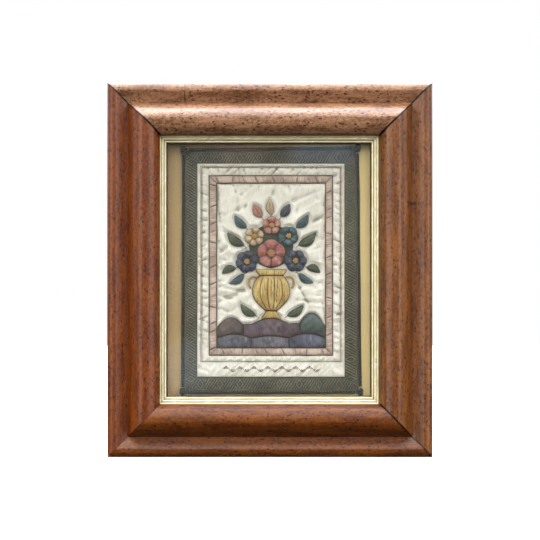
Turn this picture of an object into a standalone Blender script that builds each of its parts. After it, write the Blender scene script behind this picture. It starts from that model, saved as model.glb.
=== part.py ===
"""Padded silk embroidery of a flower urn, framed behind glass in a cushion-moulded maple frame.

The wall is the plane y = 0 and the picture faces -Y, with +Z up. The origin is the middle of the back.
Sizes are in millimetres: x across the picture, z up it, and v the height off the wall towards the viewer.
"""

import math

import bmesh
import bpy
from mathutils import Matrix, Vector

MM = 0.001
GAP = 0.3

# Frame: four mitred rails of one ogee moulding
FRAME_WIDE = 390.0
FRAME_TALL = 449.0
RAIL_WIDE = 63.5
REBATE_WIDE = 6.5
# The face of the moulding from the outer edge to the sight edge, in two curves that meet in a quirk.
# Each row is a point of the curve: across, height, slope
RAIL_BEAD = (
    (0.0, 20.0, 2.2),
    (5.0, 25.5, 0.0),
    (9.0, 24.6, -0.49),
    (23.5, 17.5, -0.49),
)
RAIL_CUSHION = (
    (24.0, 17.6, 1.9),
    (34.0, 31.8, 0.95),
    (45.5, 38.0, 0.0),
    (57.0, 34.6, -0.6),
    (RAIL_WIDE, 26.5, -1.9),
)
BEAD_STEPS = 3
CUSHION_STEPS = 5

# What the rebate holds, counted from the wall
BACKBOARD_THICK = 3.8
MOUNT_THICK = 2.2
WORK_ROOM = 7.6
GLASS_THICK = 2.0
FLANGE_THICK = 4.8
MOUNT_BACK = BACKBOARD_THICK + GAP
MOUNT_FRONT = MOUNT_BACK + MOUNT_THICK
GLASS_BACK = MOUNT_FRONT + WORK_ROOM
SLIP_BACK = GLASS_BACK + GLASS_THICK + GAP
LEDGE = SLIP_BACK + FLANGE_THICK + GAP
BOARD_CLEAR = 0.5

# Gilt slip: its flange hides under the rail and its face shows inside the sight edge
SLIP_FLANGE_EDGE = 58.4
SLIP_SHIFT = -1.1
# Face of the slip from the sight edge of the rail inwards: across, height above the slip's back
SLIP_FACE = (
    (0.4, 4.8),
    (0.9, 3.6),
    (2.2, 3.3),
    (2.7, 4.1),
    (3.9, 4.8),
    (5.1, 4.1),
    (5.6, 2.8),
    (6.3, 3.4),
    (7.9, 3.2),
    (8.2, 2.2),
    (9.7, 0.9),
    (9.7, 0.0),
)

# The embroidery: nested rectangles as left, right, bottom, top
PANEL = (-87.7, 91.0, -129.2, 129.6)
LINE = (-82.2, 85.9, -110.7, 124.7)
BAND_OUTER = (-73.3, 76.5, -103.1, 114.8)
BAND_INNER = (-64.2, 68.0, -94.3, 105.9)
RIBBON_OUTER = {
    "top_left": (-102.3, 144.1),
    "top_right": (104.7, 146.2),
    "bottom_left": (-103.5, -146.0),
    "bottom_right": (107.9, -146.0),
}
SATIN_THICK = 1.2
CLOTH_BACK = MOUNT_FRONT + GAP
SATIN_FLAT = CLOTH_BACK + SATIN_THICK
WORK_BACK = SATIN_FLAT + GAP
RIBBON_EDGE = 1.3
RIBBON_CROWN = 0.7
BAND_EDGE = 0.7
BAND_CROWN = 1.1
BAND_PUFF = 0.35
BAND_PLEAT = 21.0
BAND_STEP = 7.0
EDGING_THICK = 4.0
KNOT_RADIUS = 5.2
KNOT_THICK = 4.2
KNOT_LUMP = 0.1
KNOT_OUT = 1.2

# Centre line of the field, from which the flowers, leaves and urn are measured
MIDDLE = 0.5 * (BAND_INNER[0] + BAND_INNER[1])
# Round patch under the flowers: x, z, radius
PATCH = (0.0, 29.5, 27.0)
PATCH_THICK = 0.7
PATCH_SCALLOP = 0.03
PAD_EDGE = 0.8

# Blossoms: name, x, z, radius, petals, turn in degrees, crown, material
BLOSSOMS = (
    ("rose", 0.0, 20.5, 17.0, 5, 90, 3.3, "silk_rose"),
    ("aster_left", -29.5, 10.5, 13.5, 6, 15, 2.9, "silk_navy"),
    ("aster_right", 29.5, 11.5, 13.5, 6, 0, 2.9, "silk_navy"),
    ("daisy_left", -20.5, 41.0, 11.5, 6, 20, 2.6, "silk_cream"),
    ("daisy_right", 21.0, 41.5, 12.0, 5, 50, 2.6, "silk_teal"),
    ("peony_top", 0.5, 54.5, 11.0, 5, 90, 2.7, "silk_coral"),
)
# Section of a blossom from its middle to its rim: share of the radius, share of the crown
BLOSSOM_SECTION = ((0.0, 1.0), (0.2, 0.85), (0.32, 0.4), (0.6, 0.95), (0.85, 0.7), (1.0, 0.0))
PETAL_NOTCH = 0.14
PETAL_FURROW = 0.35
PETAL_STEPS = 6

# Leaves and buds: name, foot x, foot z, tip x, tip z, half width, bend, material
LEAVES = (
    ("leaf_left_high", -33.5, 30.0, -53.0, 45.5, 5.4, 2.5, "silk_leaf"),
    ("leaf_left_low", -43.0, 3.0, -59.5, -3.5, 4.6, -2.0, "silk_leaf"),
    ("leaf_left_droop", -33.0, -4.8, -50.5, -16.0, 4.2, 2.0, "silk_teal"),
    ("leaf_left_top", -30.0, 51.5, -44.0, 66.5, 4.8, 2.0, "silk_teal"),
    ("leaf_right_high", 33.5, 30.5, 54.0, 45.0, 5.4, -2.5, "silk_leaf"),
    ("leaf_right_low", 43.0, 4.0, 59.5, -2.5, 4.6, 2.0, "silk_leaf"),
    ("leaf_right_droop", 33.5, -4.2, 51.0, -15.0, 4.2, -2.0, "silk_teal"),
    ("leaf_right_top", 31.0, 52.0, 45.0, 67.0, 4.8, -2.0, "silk_teal"),
    ("bud_left", -11.5, 64.5, -21.0, 80.0, 5.2, 1.0, "silk_coral"),
    ("bud_right", 12.0, 65.0, 22.5, 80.5, 5.2, -1.0, "silk_navy"),
    ("bud_top", 0.5, 67.2, -1.0, 86.5, 4.6, 1.5, "silk_cream"),
    ("fern_left", -19.0, -55.0, -37.0, -41.0, 4.5, 2.5, "silk_leaf"),
    ("fern_right", 20.0, -55.0, 39.0, -42.5, 4.5, -2.5, "silk_leaf"),
)
LEAF_CROWN = 2.2
LEAF_RIB = 0.5

# Urn: height up the picture, half width; the foot's lowest row bends along the hill under it
URN_FOOT = ((-57.4, 11.6), (-54.4, 11.0), (-52.0, 7.2), (-49.6, 6.2))
URN_BOWL = ((-49.2, 6.6), (-44.0, 12.5), (-35.0, 21.0), (-25.0, 23.5), (-14.0, 20.5), (-6.2, 14.6))
URN_LIP = ((-5.8, 14.8), (-3.4, 16.6), (-1.2, 18.6), (1.4, 18.0))
URN_FLUTES = 5
URN_CROWN = 3.4
FLUTE_CROWN = 0.6
URN_TRIM_CROWN = 2.0
# Handle centre line on the right-hand side, and its half width
HANDLE = ((17.6, -8.4), (22.4, -7.0), (26.8, -10.2), (28.0, -16.0), (24.8, -21.6))
HANDLE_HALF = 1.6

# Hills: name, left, right, side height, crest height, crown, material; each stands on the row before it
FRONT_HILLS = (
    ("hill_front_left", -65.8, -24.2, 11.0, 16.0, 2.0, "silk_slate"),
    ("hill_front_middle", -23.7, 21.7, 11.0, 14.0, 1.8, "silk_moss"),
    ("hill_front_right", 22.2, 65.8, 11.0, 17.0, 2.0, "silk_slate"),
)
BACK_HILLS = (
    ("hill_back_left", -65.8, -34.7, 13.0, 20.0, 2.6, "silk_brown"),
    ("hill_back_middle", -34.2, 34.2, 13.0, 21.0, 2.8, "silk_mauve"),
    ("hill_back_right", 34.7, 65.8, 14.0, 25.0, 3.0, "silk_slate"),
)
HILL_GAP = 0.5
HILL_FOOT = BAND_INNER[2] + HILL_GAP
HILL_STEPS = 10

# Soft creases in the ivory field: from x, from z, to x, to z, half width, depth
CREASES = (
    (-63.0, 62.0, -30.0, 78.0, 6.0, 0.7),
    (-62.0, 22.0, -47.0, 30.0, 5.0, 0.8),
    (-60.0, -20.0, -26.0, -26.0, 5.0, 0.9),
    (-62.0, -38.0, -40.0, -30.0, 5.0, 0.7),
    (28.0, 84.0, 64.0, 100.0, 6.0, 0.8),
    (52.0, 58.0, 67.0, 66.0, 5.0, 0.7),
    (30.0, -22.0, 66.0, -14.0, 5.0, 0.9),
    (34.0, -36.0, 66.0, -40.0, 5.0, 0.8),
    (-34.0, 92.0, -20.0, 104.0, 5.0, 0.6),
    (4.0, 92.0, 8.0, 105.0, 5.0, 0.6),
)
FIELD_PUFF = 1.5
FIELD_RAMP = 9.0
CREASE_RAMP = 6.0
MARGIN_PUFF = 1.1
EDGE_PUFF = 0.6
GRID_PITCH = 6.6
WORK_MARGIN = 4.0
WORK_RAMP = 10.0

# Material: colour, roughness, metallic
MATERIALS = {
    "maple": ((0.42, 0.17, 0.06), 0.3, 0.0),
    "gilt": ((0.72, 0.58, 0.26), 0.35, 0.8),
    "glass": ((0.9, 0.95, 0.93), 0.05, 0.0),
    "gold_paper": ((0.55, 0.41, 0.17), 0.55, 0.2),
    "pine": ((0.5, 0.36, 0.2), 0.7, 0.0),
    "satin_ivory": ((0.74, 0.7, 0.6), 0.4, 0.0),
    "satin_pink": ((0.5, 0.33, 0.28), 0.45, 0.0),
    "ribbon_green": ((0.05, 0.06, 0.045), 0.7, 0.0),
    "edging_black": ((0.012, 0.014, 0.018), 0.6, 0.0),
    "silk_gold": ((0.5, 0.34, 0.1), 0.4, 0.0),
    "silk_rose": ((0.5, 0.22, 0.2), 0.45, 0.0),
    "silk_coral": ((0.55, 0.3, 0.22), 0.45, 0.0),
    "silk_cream": ((0.66, 0.55, 0.42), 0.45, 0.0),
    "silk_navy": ((0.03, 0.045, 0.085), 0.45, 0.0),
    "silk_teal": ((0.04, 0.12, 0.13), 0.45, 0.0),
    "silk_leaf": ((0.06, 0.09, 0.05), 0.5, 0.0),
    "silk_slate": ((0.1, 0.1, 0.13), 0.45, 0.0),
    "silk_moss": ((0.12, 0.13, 0.11), 0.45, 0.0),
    "silk_mauve": ((0.14, 0.09, 0.1), 0.45, 0.0),
    "silk_brown": ((0.1, 0.075, 0.065), 0.45, 0.0),
}

# Each side of the frame: the way along it, and the way out from the middle, both as x and z
SIDES = {
    "top": ((1, 0), (0, 1)),
    "bottom": ((-1, 0), (0, -1)),
    "left": ((0, 1), (-1, 0)),
    "right": ((0, -1), (1, 0)),
}

# Start from an empty scene
for old in list(bpy.data.objects):
    bpy.data.objects.remove(old, do_unlink=True)
PARTS = bpy.data.collections.new("framed_embroidery")
bpy.context.scene.collection.children.link(PARTS)


def material(name):
    """The named finish, made once."""
    found = bpy.data.materials.get(name)
    if found:
        return found
    colour, roughness, metallic = MATERIALS[name]
    made = bpy.data.materials.new(name)
    made.use_nodes = True
    shader = made.node_tree.nodes["Principled BSDF"]
    shader.inputs["Base Color"].default_value = (*colour, 1.0)
    shader.inputs["Roughness"].default_value = roughness
    shader.inputs["Metallic"].default_value = metallic
    return made


def place(x, z, v):
    """A point of the picture, in Blender's metres."""
    return Vector((x, -v, z)) * MM


def finish(name, shape, finish_name, smooth=False):
    """Turns a bmesh into a named object of the frame, with its faces pointing out."""
    bmesh.ops.recalc_face_normals(shape, faces=shape.faces)
    mesh = bpy.data.meshes.new(name)
    shape.to_mesh(mesh)
    shape.free()
    if smooth:
        mesh.shade_smooth()
        mesh.set_sharp_from_angle(angle=math.radians(40))
    made = bpy.data.objects.new(name, mesh)
    mesh.materials.append(material(finish_name))
    PARTS.objects.link(made)
    return made


def mix(a, b, t):
    return a + (b - a) * t


def ease(t):
    """Smooth step from 0 to 1."""
    t = min(1.0, max(0.0, t))
    return t * t * (3.0 - 2.0 * t)


def curve_through(knots, steps):
    """Points of the smooth curve through (across, height, slope) knots."""
    points = []
    for (x0, y0, m0), (x1, y1, m1) in zip(knots, knots[1:]):
        run = x1 - x0
        for k in range(steps):
            t = k / steps
            rise = y0 * (1 + 2 * t) * (1 - t) ** 2 + y1 * t * t * (3 - 2 * t)
            bend = run * (m0 * t * (1 - t) ** 2 + m1 * t * t * (t - 1))
            points.append((x0 + run * t, rise + bend))
    points.append(knots[-1][:2])
    return points


def width_at(rows, z):
    """Half width at a height, eased between the rows of a (height, half width) table."""
    for (z0, w0), (z1, w1) in zip(rows, rows[1:]):
        if z <= z1:
            return mix(w0, w1, (z - z0) / (z1 - z0))
    return rows[-1][1]


def moulding(name, side, outline, finish_name, shift=0.0):
    """A mitred rail: an outline of (distance in from the frame's outer edge, height) run along one side."""
    along, out = SIDES[side]
    half_out = 0.5 * (FRAME_TALL if out[1] else FRAME_WIDE)
    half_long = 0.5 * (FRAME_WIDE if out[1] else FRAME_TALL)

    def corner(across, v, end):
        run = end * (half_long - across - 0.5 * GAP)
        x = along[0] * run + out[0] * (half_out - across) + shift
        z = along[1] * run + out[1] * (half_out - across)
        return place(x, z, v)

    shape = bmesh.new()
    section = shape.faces.new([shape.verts.new(corner(u, v, -1)) for u, v in outline])
    far = bmesh.ops.extrude_face_region(shape, geom=[section])["geom"]
    moved = [item for item in far if isinstance(item, bmesh.types.BMVert)]
    for vert in moved:
        across = half_out - (vert.co.x / MM - shift if out[0] else vert.co.z / MM) * (out[0] or out[1])
        vert.co = corner(across, -vert.co.y / MM, 1)
    return finish(name, shape, finish_name, smooth=True)


def board(name, back, thick, finish_name):
    """A flat board or pane that fills the rebate."""
    inset = RAIL_WIDE - REBATE_WIDE + BOARD_CLEAR
    shape = bmesh.new()
    bmesh.ops.create_cube(shape, size=1.0)
    size = Vector((FRAME_WIDE - 2 * inset, thick, FRAME_TALL - 2 * inset)) * MM
    bmesh.ops.scale(shape, vec=size, verts=shape.verts)
    bmesh.ops.translate(shape, vec=place(0, 0, back + 0.5 * thick), verts=shape.verts)
    return finish(name, shape, finish_name)


def padded(name, surface, across, along, back, finish_name):
    """A closed pad: surface(s, t) gives x, z and height for s and t from 0 to 1, over a flat back."""
    shape = bmesh.new()
    bmesh.ops.create_grid(shape, x_segments=across, y_segments=along, size=1.0)
    for vert in shape.verts:
        vert.co = place(*surface(0.5 + 0.5 * vert.co.x, 0.5 + 0.5 * vert.co.y))
    bmesh.ops.remove_doubles(shape, verts=shape.verts, dist=1e-5)
    rim = [edge for edge in shape.edges if edge.is_boundary]
    skirt = bmesh.ops.extrude_edge_only(shape, edges=rim)["geom"]
    for vert in (item for item in skirt if isinstance(item, bmesh.types.BMVert)):
        vert.co.y = -back * MM
    hem = [item for item in skirt if isinstance(item, bmesh.types.BMEdge) and item.is_boundary]
    bmesh.ops.contextual_create(shape, geom=hem)
    return finish(name, shape, finish_name)


def corners(box):
    """Corners of a left, right, bottom, top box by name."""
    left, right, bottom, top = box
    return {
        "top_left": (left, top),
        "top_right": (right, top),
        "bottom_left": (left, bottom),
        "bottom_right": (right, bottom),
    }


ENDS = {
    "top": ("top_left", "top_right"),
    "bottom": ("bottom_right", "bottom_left"),
    "left": ("bottom_left", "top_left"),
    "right": ("top_right", "bottom_right"),
}


def strip(name, side, outer, inner, steps, rise, back, finish_name):
    """A mitred strip between two sets of corners; rise(distance along, share across) is its height."""
    start, end = ENDS[side]
    outer_a, outer_b = Vector(outer[start]), Vector(outer[end])
    inner_a, inner_b = Vector(inner[start]), Vector(inner[end])
    length = (outer_b - outer_a).length
    trim = 0.7 * GAP / length

    def surface(s, t):
        run = mix(trim, 1.0 - trim, s)
        point = outer_a.lerp(outer_b, run).lerp(inner_a.lerp(inner_b, run), t)
        return point.x, point.y, back + rise(run * length, t)

    return padded(name, surface, steps, 4, back, finish_name)


def inside(box, x, z):
    """Distance in from the nearest side of a box, negative outside it."""
    left, right, bottom, top = box
    return min(x - left, right - x, z - bottom, top - z)


def crown(a, b):
    """A cushion's rise between two seams at distances a and b: 1 midway and 0 on either seam."""
    return max(0.0, 4.0 * a * b / (a + b) ** 2) ** 0.7 if a + b > 0 else 0.0


def to_segment(x, z, x0, z0, x1, z1):
    """Distance from a point to a straight line between two others."""
    run = Vector((x1 - x0, z1 - z0))
    t = max(0.0, min(1.0, Vector((x - x0, z - z0)).dot(run) / run.length_squared))
    return (Vector((x, z)) - Vector((x0, z0)) - run * t).length


def top_line(hills, x):
    """Height of a row of hills at x over the line that they stand on."""
    _, left, right, side, crest, *_ = next((row for row in hills if x < row[2] + 0.5 * HILL_GAP), hills[-1])
    share = min(1.0, max(0.0, (x - left) / (right - left)))
    return mix(side, crest, math.sin(math.pi * share))


def front_top(x):
    return HILL_FOOT + top_line(FRONT_HILLS, x)


def back_foot(x):
    return front_top(x) + HILL_GAP


def back_top(x):
    return back_foot(x) + top_line(BACK_HILLS, x)


def to_work(x, z):
    """Distance from a point of the field to the nearest flower, leaf, urn or hill."""
    x -= MIDDLE
    found = [math.hypot(x - bx, z - bz) - radius for _, bx, bz, radius, *_ in BLOSSOMS]
    found += [to_segment(x, z, *row[1:5]) - row[5] for row in LEAVES]
    found.append(math.hypot(x - PATCH[0], z - PATCH[1]) - PATCH[2])
    found.append(z - back_top(x))
    for rows in (URN_FOOT, URN_BOWL, URN_LIP):
        low, high = rows[0][0], rows[-1][0]
        aside = abs(x) - width_at(rows, min(high, max(low, z)))
        found.append(math.hypot(max(0.0, aside), max(low - z, 0.0, z - high)) + min(0.0, aside))
    for (x0, z0), (x1, z1) in zip(HANDLE, HANDLE[1:]):
        found.append(to_segment(abs(x), z, x0, z0, x1, z1) - HANDLE_HALF)
    return min(found)


def satin_height(x, z):
    """Height of the quilted ivory satin: cushions between its seams, sewn flat under whatever lies on it."""
    field = inside(BAND_INNER, x, z)
    band = inside(BAND_OUTER, x, z)
    line = inside(LINE, x, z)
    if field > 0:
        puff = FIELD_PUFF * ease(field / FIELD_RAMP)
        for x0, z0, x1, z1, half, depth in CREASES:
            near = ease(1.0 - to_segment(x, z, x0, z0, x1, z1) / half)
            puff -= depth * near * ease(field / CREASE_RAMP)
        return SATIN_FLAT + max(0.0, puff) * ease((to_work(x, z) - WORK_MARGIN) / WORK_RAMP)
    if band > -GAP:
        return SATIN_FLAT
    if line > 0:
        return SATIN_FLAT + MARGIN_PUFF * crown(line, -band)
    return SATIN_FLAT + EDGE_PUFF * crown(max(0.0, inside(PANEL, x, z)), -line)


def seam_lines(low, high, marks):
    """Grid lines from low to high that pass through every seam mark, about a pitch apart between them."""
    stops = sorted({low, high, *marks})
    lines = []
    for a, b in zip(stops, stops[1:]):
        count = max(2, round((b - a) / GRID_PITCH))
        lines += [mix(a, b, k / count) for k in range(count)]
    return lines + [high]


# The frame
FACE = curve_through(RAIL_BEAD, BEAD_STEPS) + curve_through(RAIL_CUSHION, CUSHION_STEPS)
REBATE_EDGE = RAIL_WIDE - REBATE_WIDE
RAIL_OUTLINE = [(0.0, 0.0), *FACE, (RAIL_WIDE, LEDGE), (REBATE_EDGE, LEDGE), (REBATE_EDGE, 0.0)]
for side in SIDES:
    moulding(f"rail_{side}", side, RAIL_OUTLINE, "maple")

# The gilt slip, which lies under the rail's lip and on the glass
SLIP_OUTLINE = [(SLIP_FLANGE_EDGE, SLIP_BACK), (SLIP_FLANGE_EDGE, SLIP_BACK + FLANGE_THICK)]
SLIP_OUTLINE += [(RAIL_WIDE + across, SLIP_BACK + high) for across, high in SLIP_FACE]
for side in SIDES:
    moulding(f"slip_{side}", side, SLIP_OUTLINE, "gilt", SLIP_SHIFT)

# Glass, gold paper mount and backboard
board("glass", GLASS_BACK, GLASS_THICK, "glass")
board("gold_mount", MOUNT_BACK, MOUNT_THICK, "gold_paper")
board("backboard", 0.0, BACKBOARD_THICK, "pine")

# The quilted satin panel, one sheet with its cushions and creases
COLUMNS = seam_lines(PANEL[0], PANEL[1], [*LINE[:2], *BAND_OUTER[:2], *BAND_INNER[:2]])
ROWS = seam_lines(PANEL[2], PANEL[3], [*LINE[2:], *BAND_OUTER[2:], *BAND_INNER[2:]])


def satin(s, t):
    x = COLUMNS[round(s * (len(COLUMNS) - 1))]
    z = ROWS[round(t * (len(ROWS) - 1))]
    return x, z, satin_height(x, z)


padded("satin_panel", satin, len(COLUMNS) - 1, len(ROWS) - 1, CLOTH_BACK, "satin_ivory")


# Dark ribbon binding, four strips mitred at the corners
def ribbon_rise(run, t):
    return RIBBON_EDGE + RIBBON_CROWN * (1.0 - (2 * t - 1) ** 2)


RIBBON_INNER = corners((PANEL[0] - GAP, PANEL[1] + GAP, PANEL[2] - GAP, PANEL[3] + GAP))
for side in SIDES:
    strip(f"ribbon_{side}", side, RIBBON_OUTER, RIBBON_INNER, 8, ribbon_rise, CLOTH_BACK, "ribbon_green")


# Pink satin band, four padded strips with soft creases across them
def band_rise(run, t):
    crease = math.cos(2 * math.pi * run / BAND_PLEAT + 1.5 * math.sin(run / 17.0))
    return BAND_EDGE + (BAND_CROWN + BAND_PUFF * crease) * (1.0 - (2 * t - 1) ** 2)


BAND_OUT = corners((BAND_OUTER[0] + GAP, BAND_OUTER[1] - GAP, BAND_OUTER[2] + GAP, BAND_OUTER[3] - GAP))
BAND_IN = corners(BAND_INNER)
for side, (start, end) in ENDS.items():
    steps = round((Vector(BAND_OUT[end]) - Vector(BAND_OUT[start])).length / BAND_STEP)
    strip(f"pink_band_{side}", side, BAND_OUT, BAND_IN, steps, band_rise, WORK_BACK, "satin_pink")


def round_cord(name, points, radius, height, finish_name, bent=False):
    """A round cord through points of the picture, with its middle at one height."""
    curve = bpy.data.curves.new(name, "CURVE")
    curve.dimensions = "3D"
    curve.bevel_depth = radius * MM
    curve.bevel_resolution = 2
    curve.resolution_u = 3
    curve.use_fill_caps = True
    if bent:
        run = curve.splines.new("BEZIER")
        run.bezier_points.add(len(points) - 1)
        for knot, (x, z) in zip(run.bezier_points, points):
            knot.co = place(x, z, height)
            knot.handle_left_type = knot.handle_right_type = "AUTO"
    else:
        run = curve.splines.new("POLY")
        run.points.add(len(points) - 1)
        for knot, (x, z) in zip(run.points, points):
            knot.co = (*place(x, z, height), 1.0)
    curve.materials.append(material(finish_name))
    PARTS.objects.link(bpy.data.objects.new(name, curve))


# Black edging along the ribbon, ending short of the knot at each corner
EDGING_OUT = 0.5 * EDGING_THICK + GAP
EDGING_HEIGHT = CLOTH_BACK + 0.5 * EDGING_THICK
EDGING_END = KNOT_RADIUS * (1 + KNOT_LUMP) + GAP - KNOT_OUT
EDGING_POINTS = 12
EDGING_WAVE = 0.5
for side, (start, end) in ENDS.items():
    a, b = Vector(RIBBON_OUTER[start]), Vector(RIBBON_OUTER[end])
    out = Vector(SIDES[side][1])
    way = (b - a).normalized() * EDGING_END
    points = []
    for k in range(EDGING_POINTS):
        share = k / (EDGING_POINTS - 1)
        drift = EDGING_OUT + EDGING_WAVE * math.sin(2.5 * math.pi * share) ** 2
        points.append((a + way).lerp(b - way, share) + out * drift)
    round_cord(f"edging_{side}", points, 0.5 * EDGING_THICK, EDGING_HEIGHT, "edging_black")

# Knots of the edging, each sewn down on a corner of the ribbon
KNOT_HEIGHT = CLOTH_BACK + RIBBON_EDGE + RIBBON_CROWN + GAP + 0.5 * KNOT_THICK
for corner, (x, z) in RIBBON_OUTER.items():
    shape = bmesh.new()
    bmesh.ops.create_uvsphere(shape, u_segments=12, v_segments=6, radius=1.0)
    for vert in shape.verts:
        lump = KNOT_RADIUS * (1 + KNOT_LUMP * math.cos(3 * math.atan2(vert.co.y, vert.co.x)))
        out_x = x + math.copysign(KNOT_OUT, x) + vert.co.x * lump
        out_z = z + math.copysign(KNOT_OUT, z) + vert.co.y * lump
        vert.co = place(out_x, out_z, KNOT_HEIGHT + 0.5 * KNOT_THICK * vert.co.z)
    finish(f"knot_{corner}", shape, "edging_black", smooth=True)


def hill(row, foot_line):
    """A padded hill over the line that it stands on."""
    name, left, right, side, crest, rise, finish_name = row

    def surface(s, t):
        x = mix(left, right, s)
        high = mix(side, crest, math.sin(math.pi * s))
        pad = (4 * t * (1 - t)) ** 0.6 * max(0.0, math.sin(math.pi * s)) ** 0.5
        return MIDDLE + x, foot_line(x) + high * t, WORK_BACK + PAD_EDGE + rise * pad

    padded(name, surface, HILL_STEPS, 4, WORK_BACK, finish_name)


# Two rows of padded hills along the foot of the field
for row in FRONT_HILLS:
    hill(row, lambda x: HILL_FOOT)
for row in BACK_HILLS:
    hill(row, back_foot)


def turned(name, rows, rise, flutes, across, along, on_hill=False):
    """A padded shape of the urn, mirror-symmetric, between the rows of a (height, half width) table."""
    low, high = rows[0][0], rows[-1][0]

    def surface(s, t):
        z = mix(low, high, t)
        x = (2 * s - 1) * width_at(rows, z)
        pad = rise * (1 - (2 * s - 1) ** 2) ** 0.6 * (4 * t * (1 - t)) ** 0.35
        pad += FLUTE_CROWN * abs(math.sin(math.pi * s * flutes)) * math.sin(math.pi * t)
        if on_hill:
            z += (back_top(x) + HILL_GAP - low) * (1 - t)
        return MIDDLE + x, z, WORK_BACK + PAD_EDGE + pad

    padded(name, surface, across, along, WORK_BACK, "silk_gold")


# The urn: foot on the hill, fluted bowl, lip and two handles
turned("urn_foot", URN_FOOT, URN_TRIM_CROWN, 0, 8, 3, on_hill=True)
turned("urn_bowl", URN_BOWL, URN_CROWN, URN_FLUTES, 4 * URN_FLUTES, 8)
turned("urn_lip", URN_LIP, URN_TRIM_CROWN, 0, 8, 3)
for side, way in (("left", -1), ("right", 1)):
    points = [(MIDDLE + way * x, z) for x, z in HANDLE]
    round_cord(f"urn_handle_{side}", points, HANDLE_HALF, WORK_BACK + HANDLE_HALF, "silk_gold", bent=True)


def leaf(row):
    """A padded leaf or bud from its foot to its tip, bent sideways, with a vein along its middle."""
    name, foot_x, foot_z, tip_x, tip_z, half, bend, finish_name = row
    foot, tip = Vector((foot_x, foot_z)), Vector((tip_x, tip_z))
    aside = (tip - foot).orthogonal().normalized()

    def surface(s, t):
        wide = max(0.0, math.sin(math.pi * s**0.85))
        share = 2 * t - 1
        point = foot.lerp(tip, s) + aside * (bend * math.sin(math.pi * s) + share * half * wide**0.8)
        pad = LEAF_CROWN * (1 - share * share) - LEAF_RIB * (abs(share) < 0.1)
        return MIDDLE + point.x, point.y, WORK_BACK + PAD_EDGE + pad * wide**0.6

    padded(name, surface, 8, 4, WORK_BACK, finish_name)


def blossom(row):
    """A padded flower of round petals about a raised heart."""
    name, x, z, radius, petals, turn, rise, finish_name = row
    back = WORK_BACK + PATCH_THICK + GAP
    rings = len(BLOSSOM_SECTION) - 1

    def surface(s, t):
        angle = 2 * math.pi * s + math.radians(turn)
        share, pad = BLOSSOM_SECTION[round(t * rings)]
        furrow = 1 - abs(math.cos(math.pi * petals * s)) ** 0.7
        reach = radius * share * (1 - PETAL_NOTCH * furrow * share)
        pad *= rise * (1 - PETAL_FURROW * furrow * (share > 0.5))
        return MIDDLE + x + reach * math.cos(angle), z + reach * math.sin(angle), back + PAD_EDGE + pad

    padded(name, surface, petals * PETAL_STEPS, rings, back, finish_name)


def patch(s, t):
    """The round patch that the flowers are sewn to, scalloped at its rim."""
    x, z, radius = PATCH
    angle = 2 * math.pi * s
    reach = radius * t * (1 - PATCH_SCALLOP * t * abs(math.sin(4 * angle)))
    return MIDDLE + x + reach * math.cos(angle), z + reach * math.sin(angle), WORK_BACK + PATCH_THICK


# Leaves, the patch and its flowers
for row in LEAVES:
    leaf(row)
padded("flower_patch", patch, 24, 2, WORK_BACK, "silk_leaf")
for row in BLOSSOMS:
    blossom(row)
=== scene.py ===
import math

import bmesh
import bpy
import numpy as np
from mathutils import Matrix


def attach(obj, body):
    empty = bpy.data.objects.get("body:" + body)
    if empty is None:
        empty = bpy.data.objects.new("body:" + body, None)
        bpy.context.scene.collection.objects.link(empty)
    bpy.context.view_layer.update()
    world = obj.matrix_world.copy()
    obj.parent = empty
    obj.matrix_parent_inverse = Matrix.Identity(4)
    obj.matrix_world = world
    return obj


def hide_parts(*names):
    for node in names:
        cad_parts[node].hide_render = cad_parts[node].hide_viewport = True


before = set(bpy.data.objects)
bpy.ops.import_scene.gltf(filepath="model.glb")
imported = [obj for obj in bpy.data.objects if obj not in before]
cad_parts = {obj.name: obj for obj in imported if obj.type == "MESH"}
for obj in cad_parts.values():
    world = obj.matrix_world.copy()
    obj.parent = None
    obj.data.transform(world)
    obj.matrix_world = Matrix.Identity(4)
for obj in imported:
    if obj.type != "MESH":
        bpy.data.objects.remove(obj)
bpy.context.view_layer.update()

# Maple rails
# Four lengths of one cushion moulding: a pine core faced with stained bird's-eye maple veneer and
# polished. Each is mitred, and the old joints have opened a little at their inner ends.
MM = 0.001
GAP = 0.3
FRAME_WIDE = 390.0
FRAME_TALL = 449.0
RAIL_WIDE = 63.5
REBATE_EDGE = 57.0
LEDGE = 21.3
# The face in two curves that meet in a quirk: across, height, slope
RAIL_BEAD = (
    (0.0, 20.0, 2.4),
    (3.5, 24.3, 0.7),
    (9.5, 25.9, 0.05),
    (14.0, 23.9, -0.7),
    (19.5, 19.9, -0.7),
    (23.5, 17.6, -0.45),
)
RAIL_CUSHION = (
    (24.0, 17.6, 1.9),
    (34.0, 31.8, 0.95),
    (45.5, 38.0, 0.0),
    (57.0, 34.6, -0.6),
    (63.5, 26.5, -1.9),
)
# Each side: the way along it and the way out from the middle, as x and z
SIDES = {
    "top": ((1, 0), (0, 1)),
    "bottom": ((-1, 0), (0, -1)),
    "left": ((0, 1), (-1, 0)),
    "right": ((0, -1), (1, 0)),
}
ENDS = {
    "top": ("top_left", "top_right"),
    "bottom": ("bottom_right", "bottom_left"),
    "left": ("bottom_left", "top_left"),
    "right": ("top_right", "bottom_right"),
}
# How far each mitre has opened at its inner end
MITRES = {"top_left": 0.5, "top_right": 0.55, "bottom_left": 0.05, "bottom_right": 0.45}
# A shut mitre shows a line of glue this many times finer
SHUT_MITRE = 5


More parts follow.
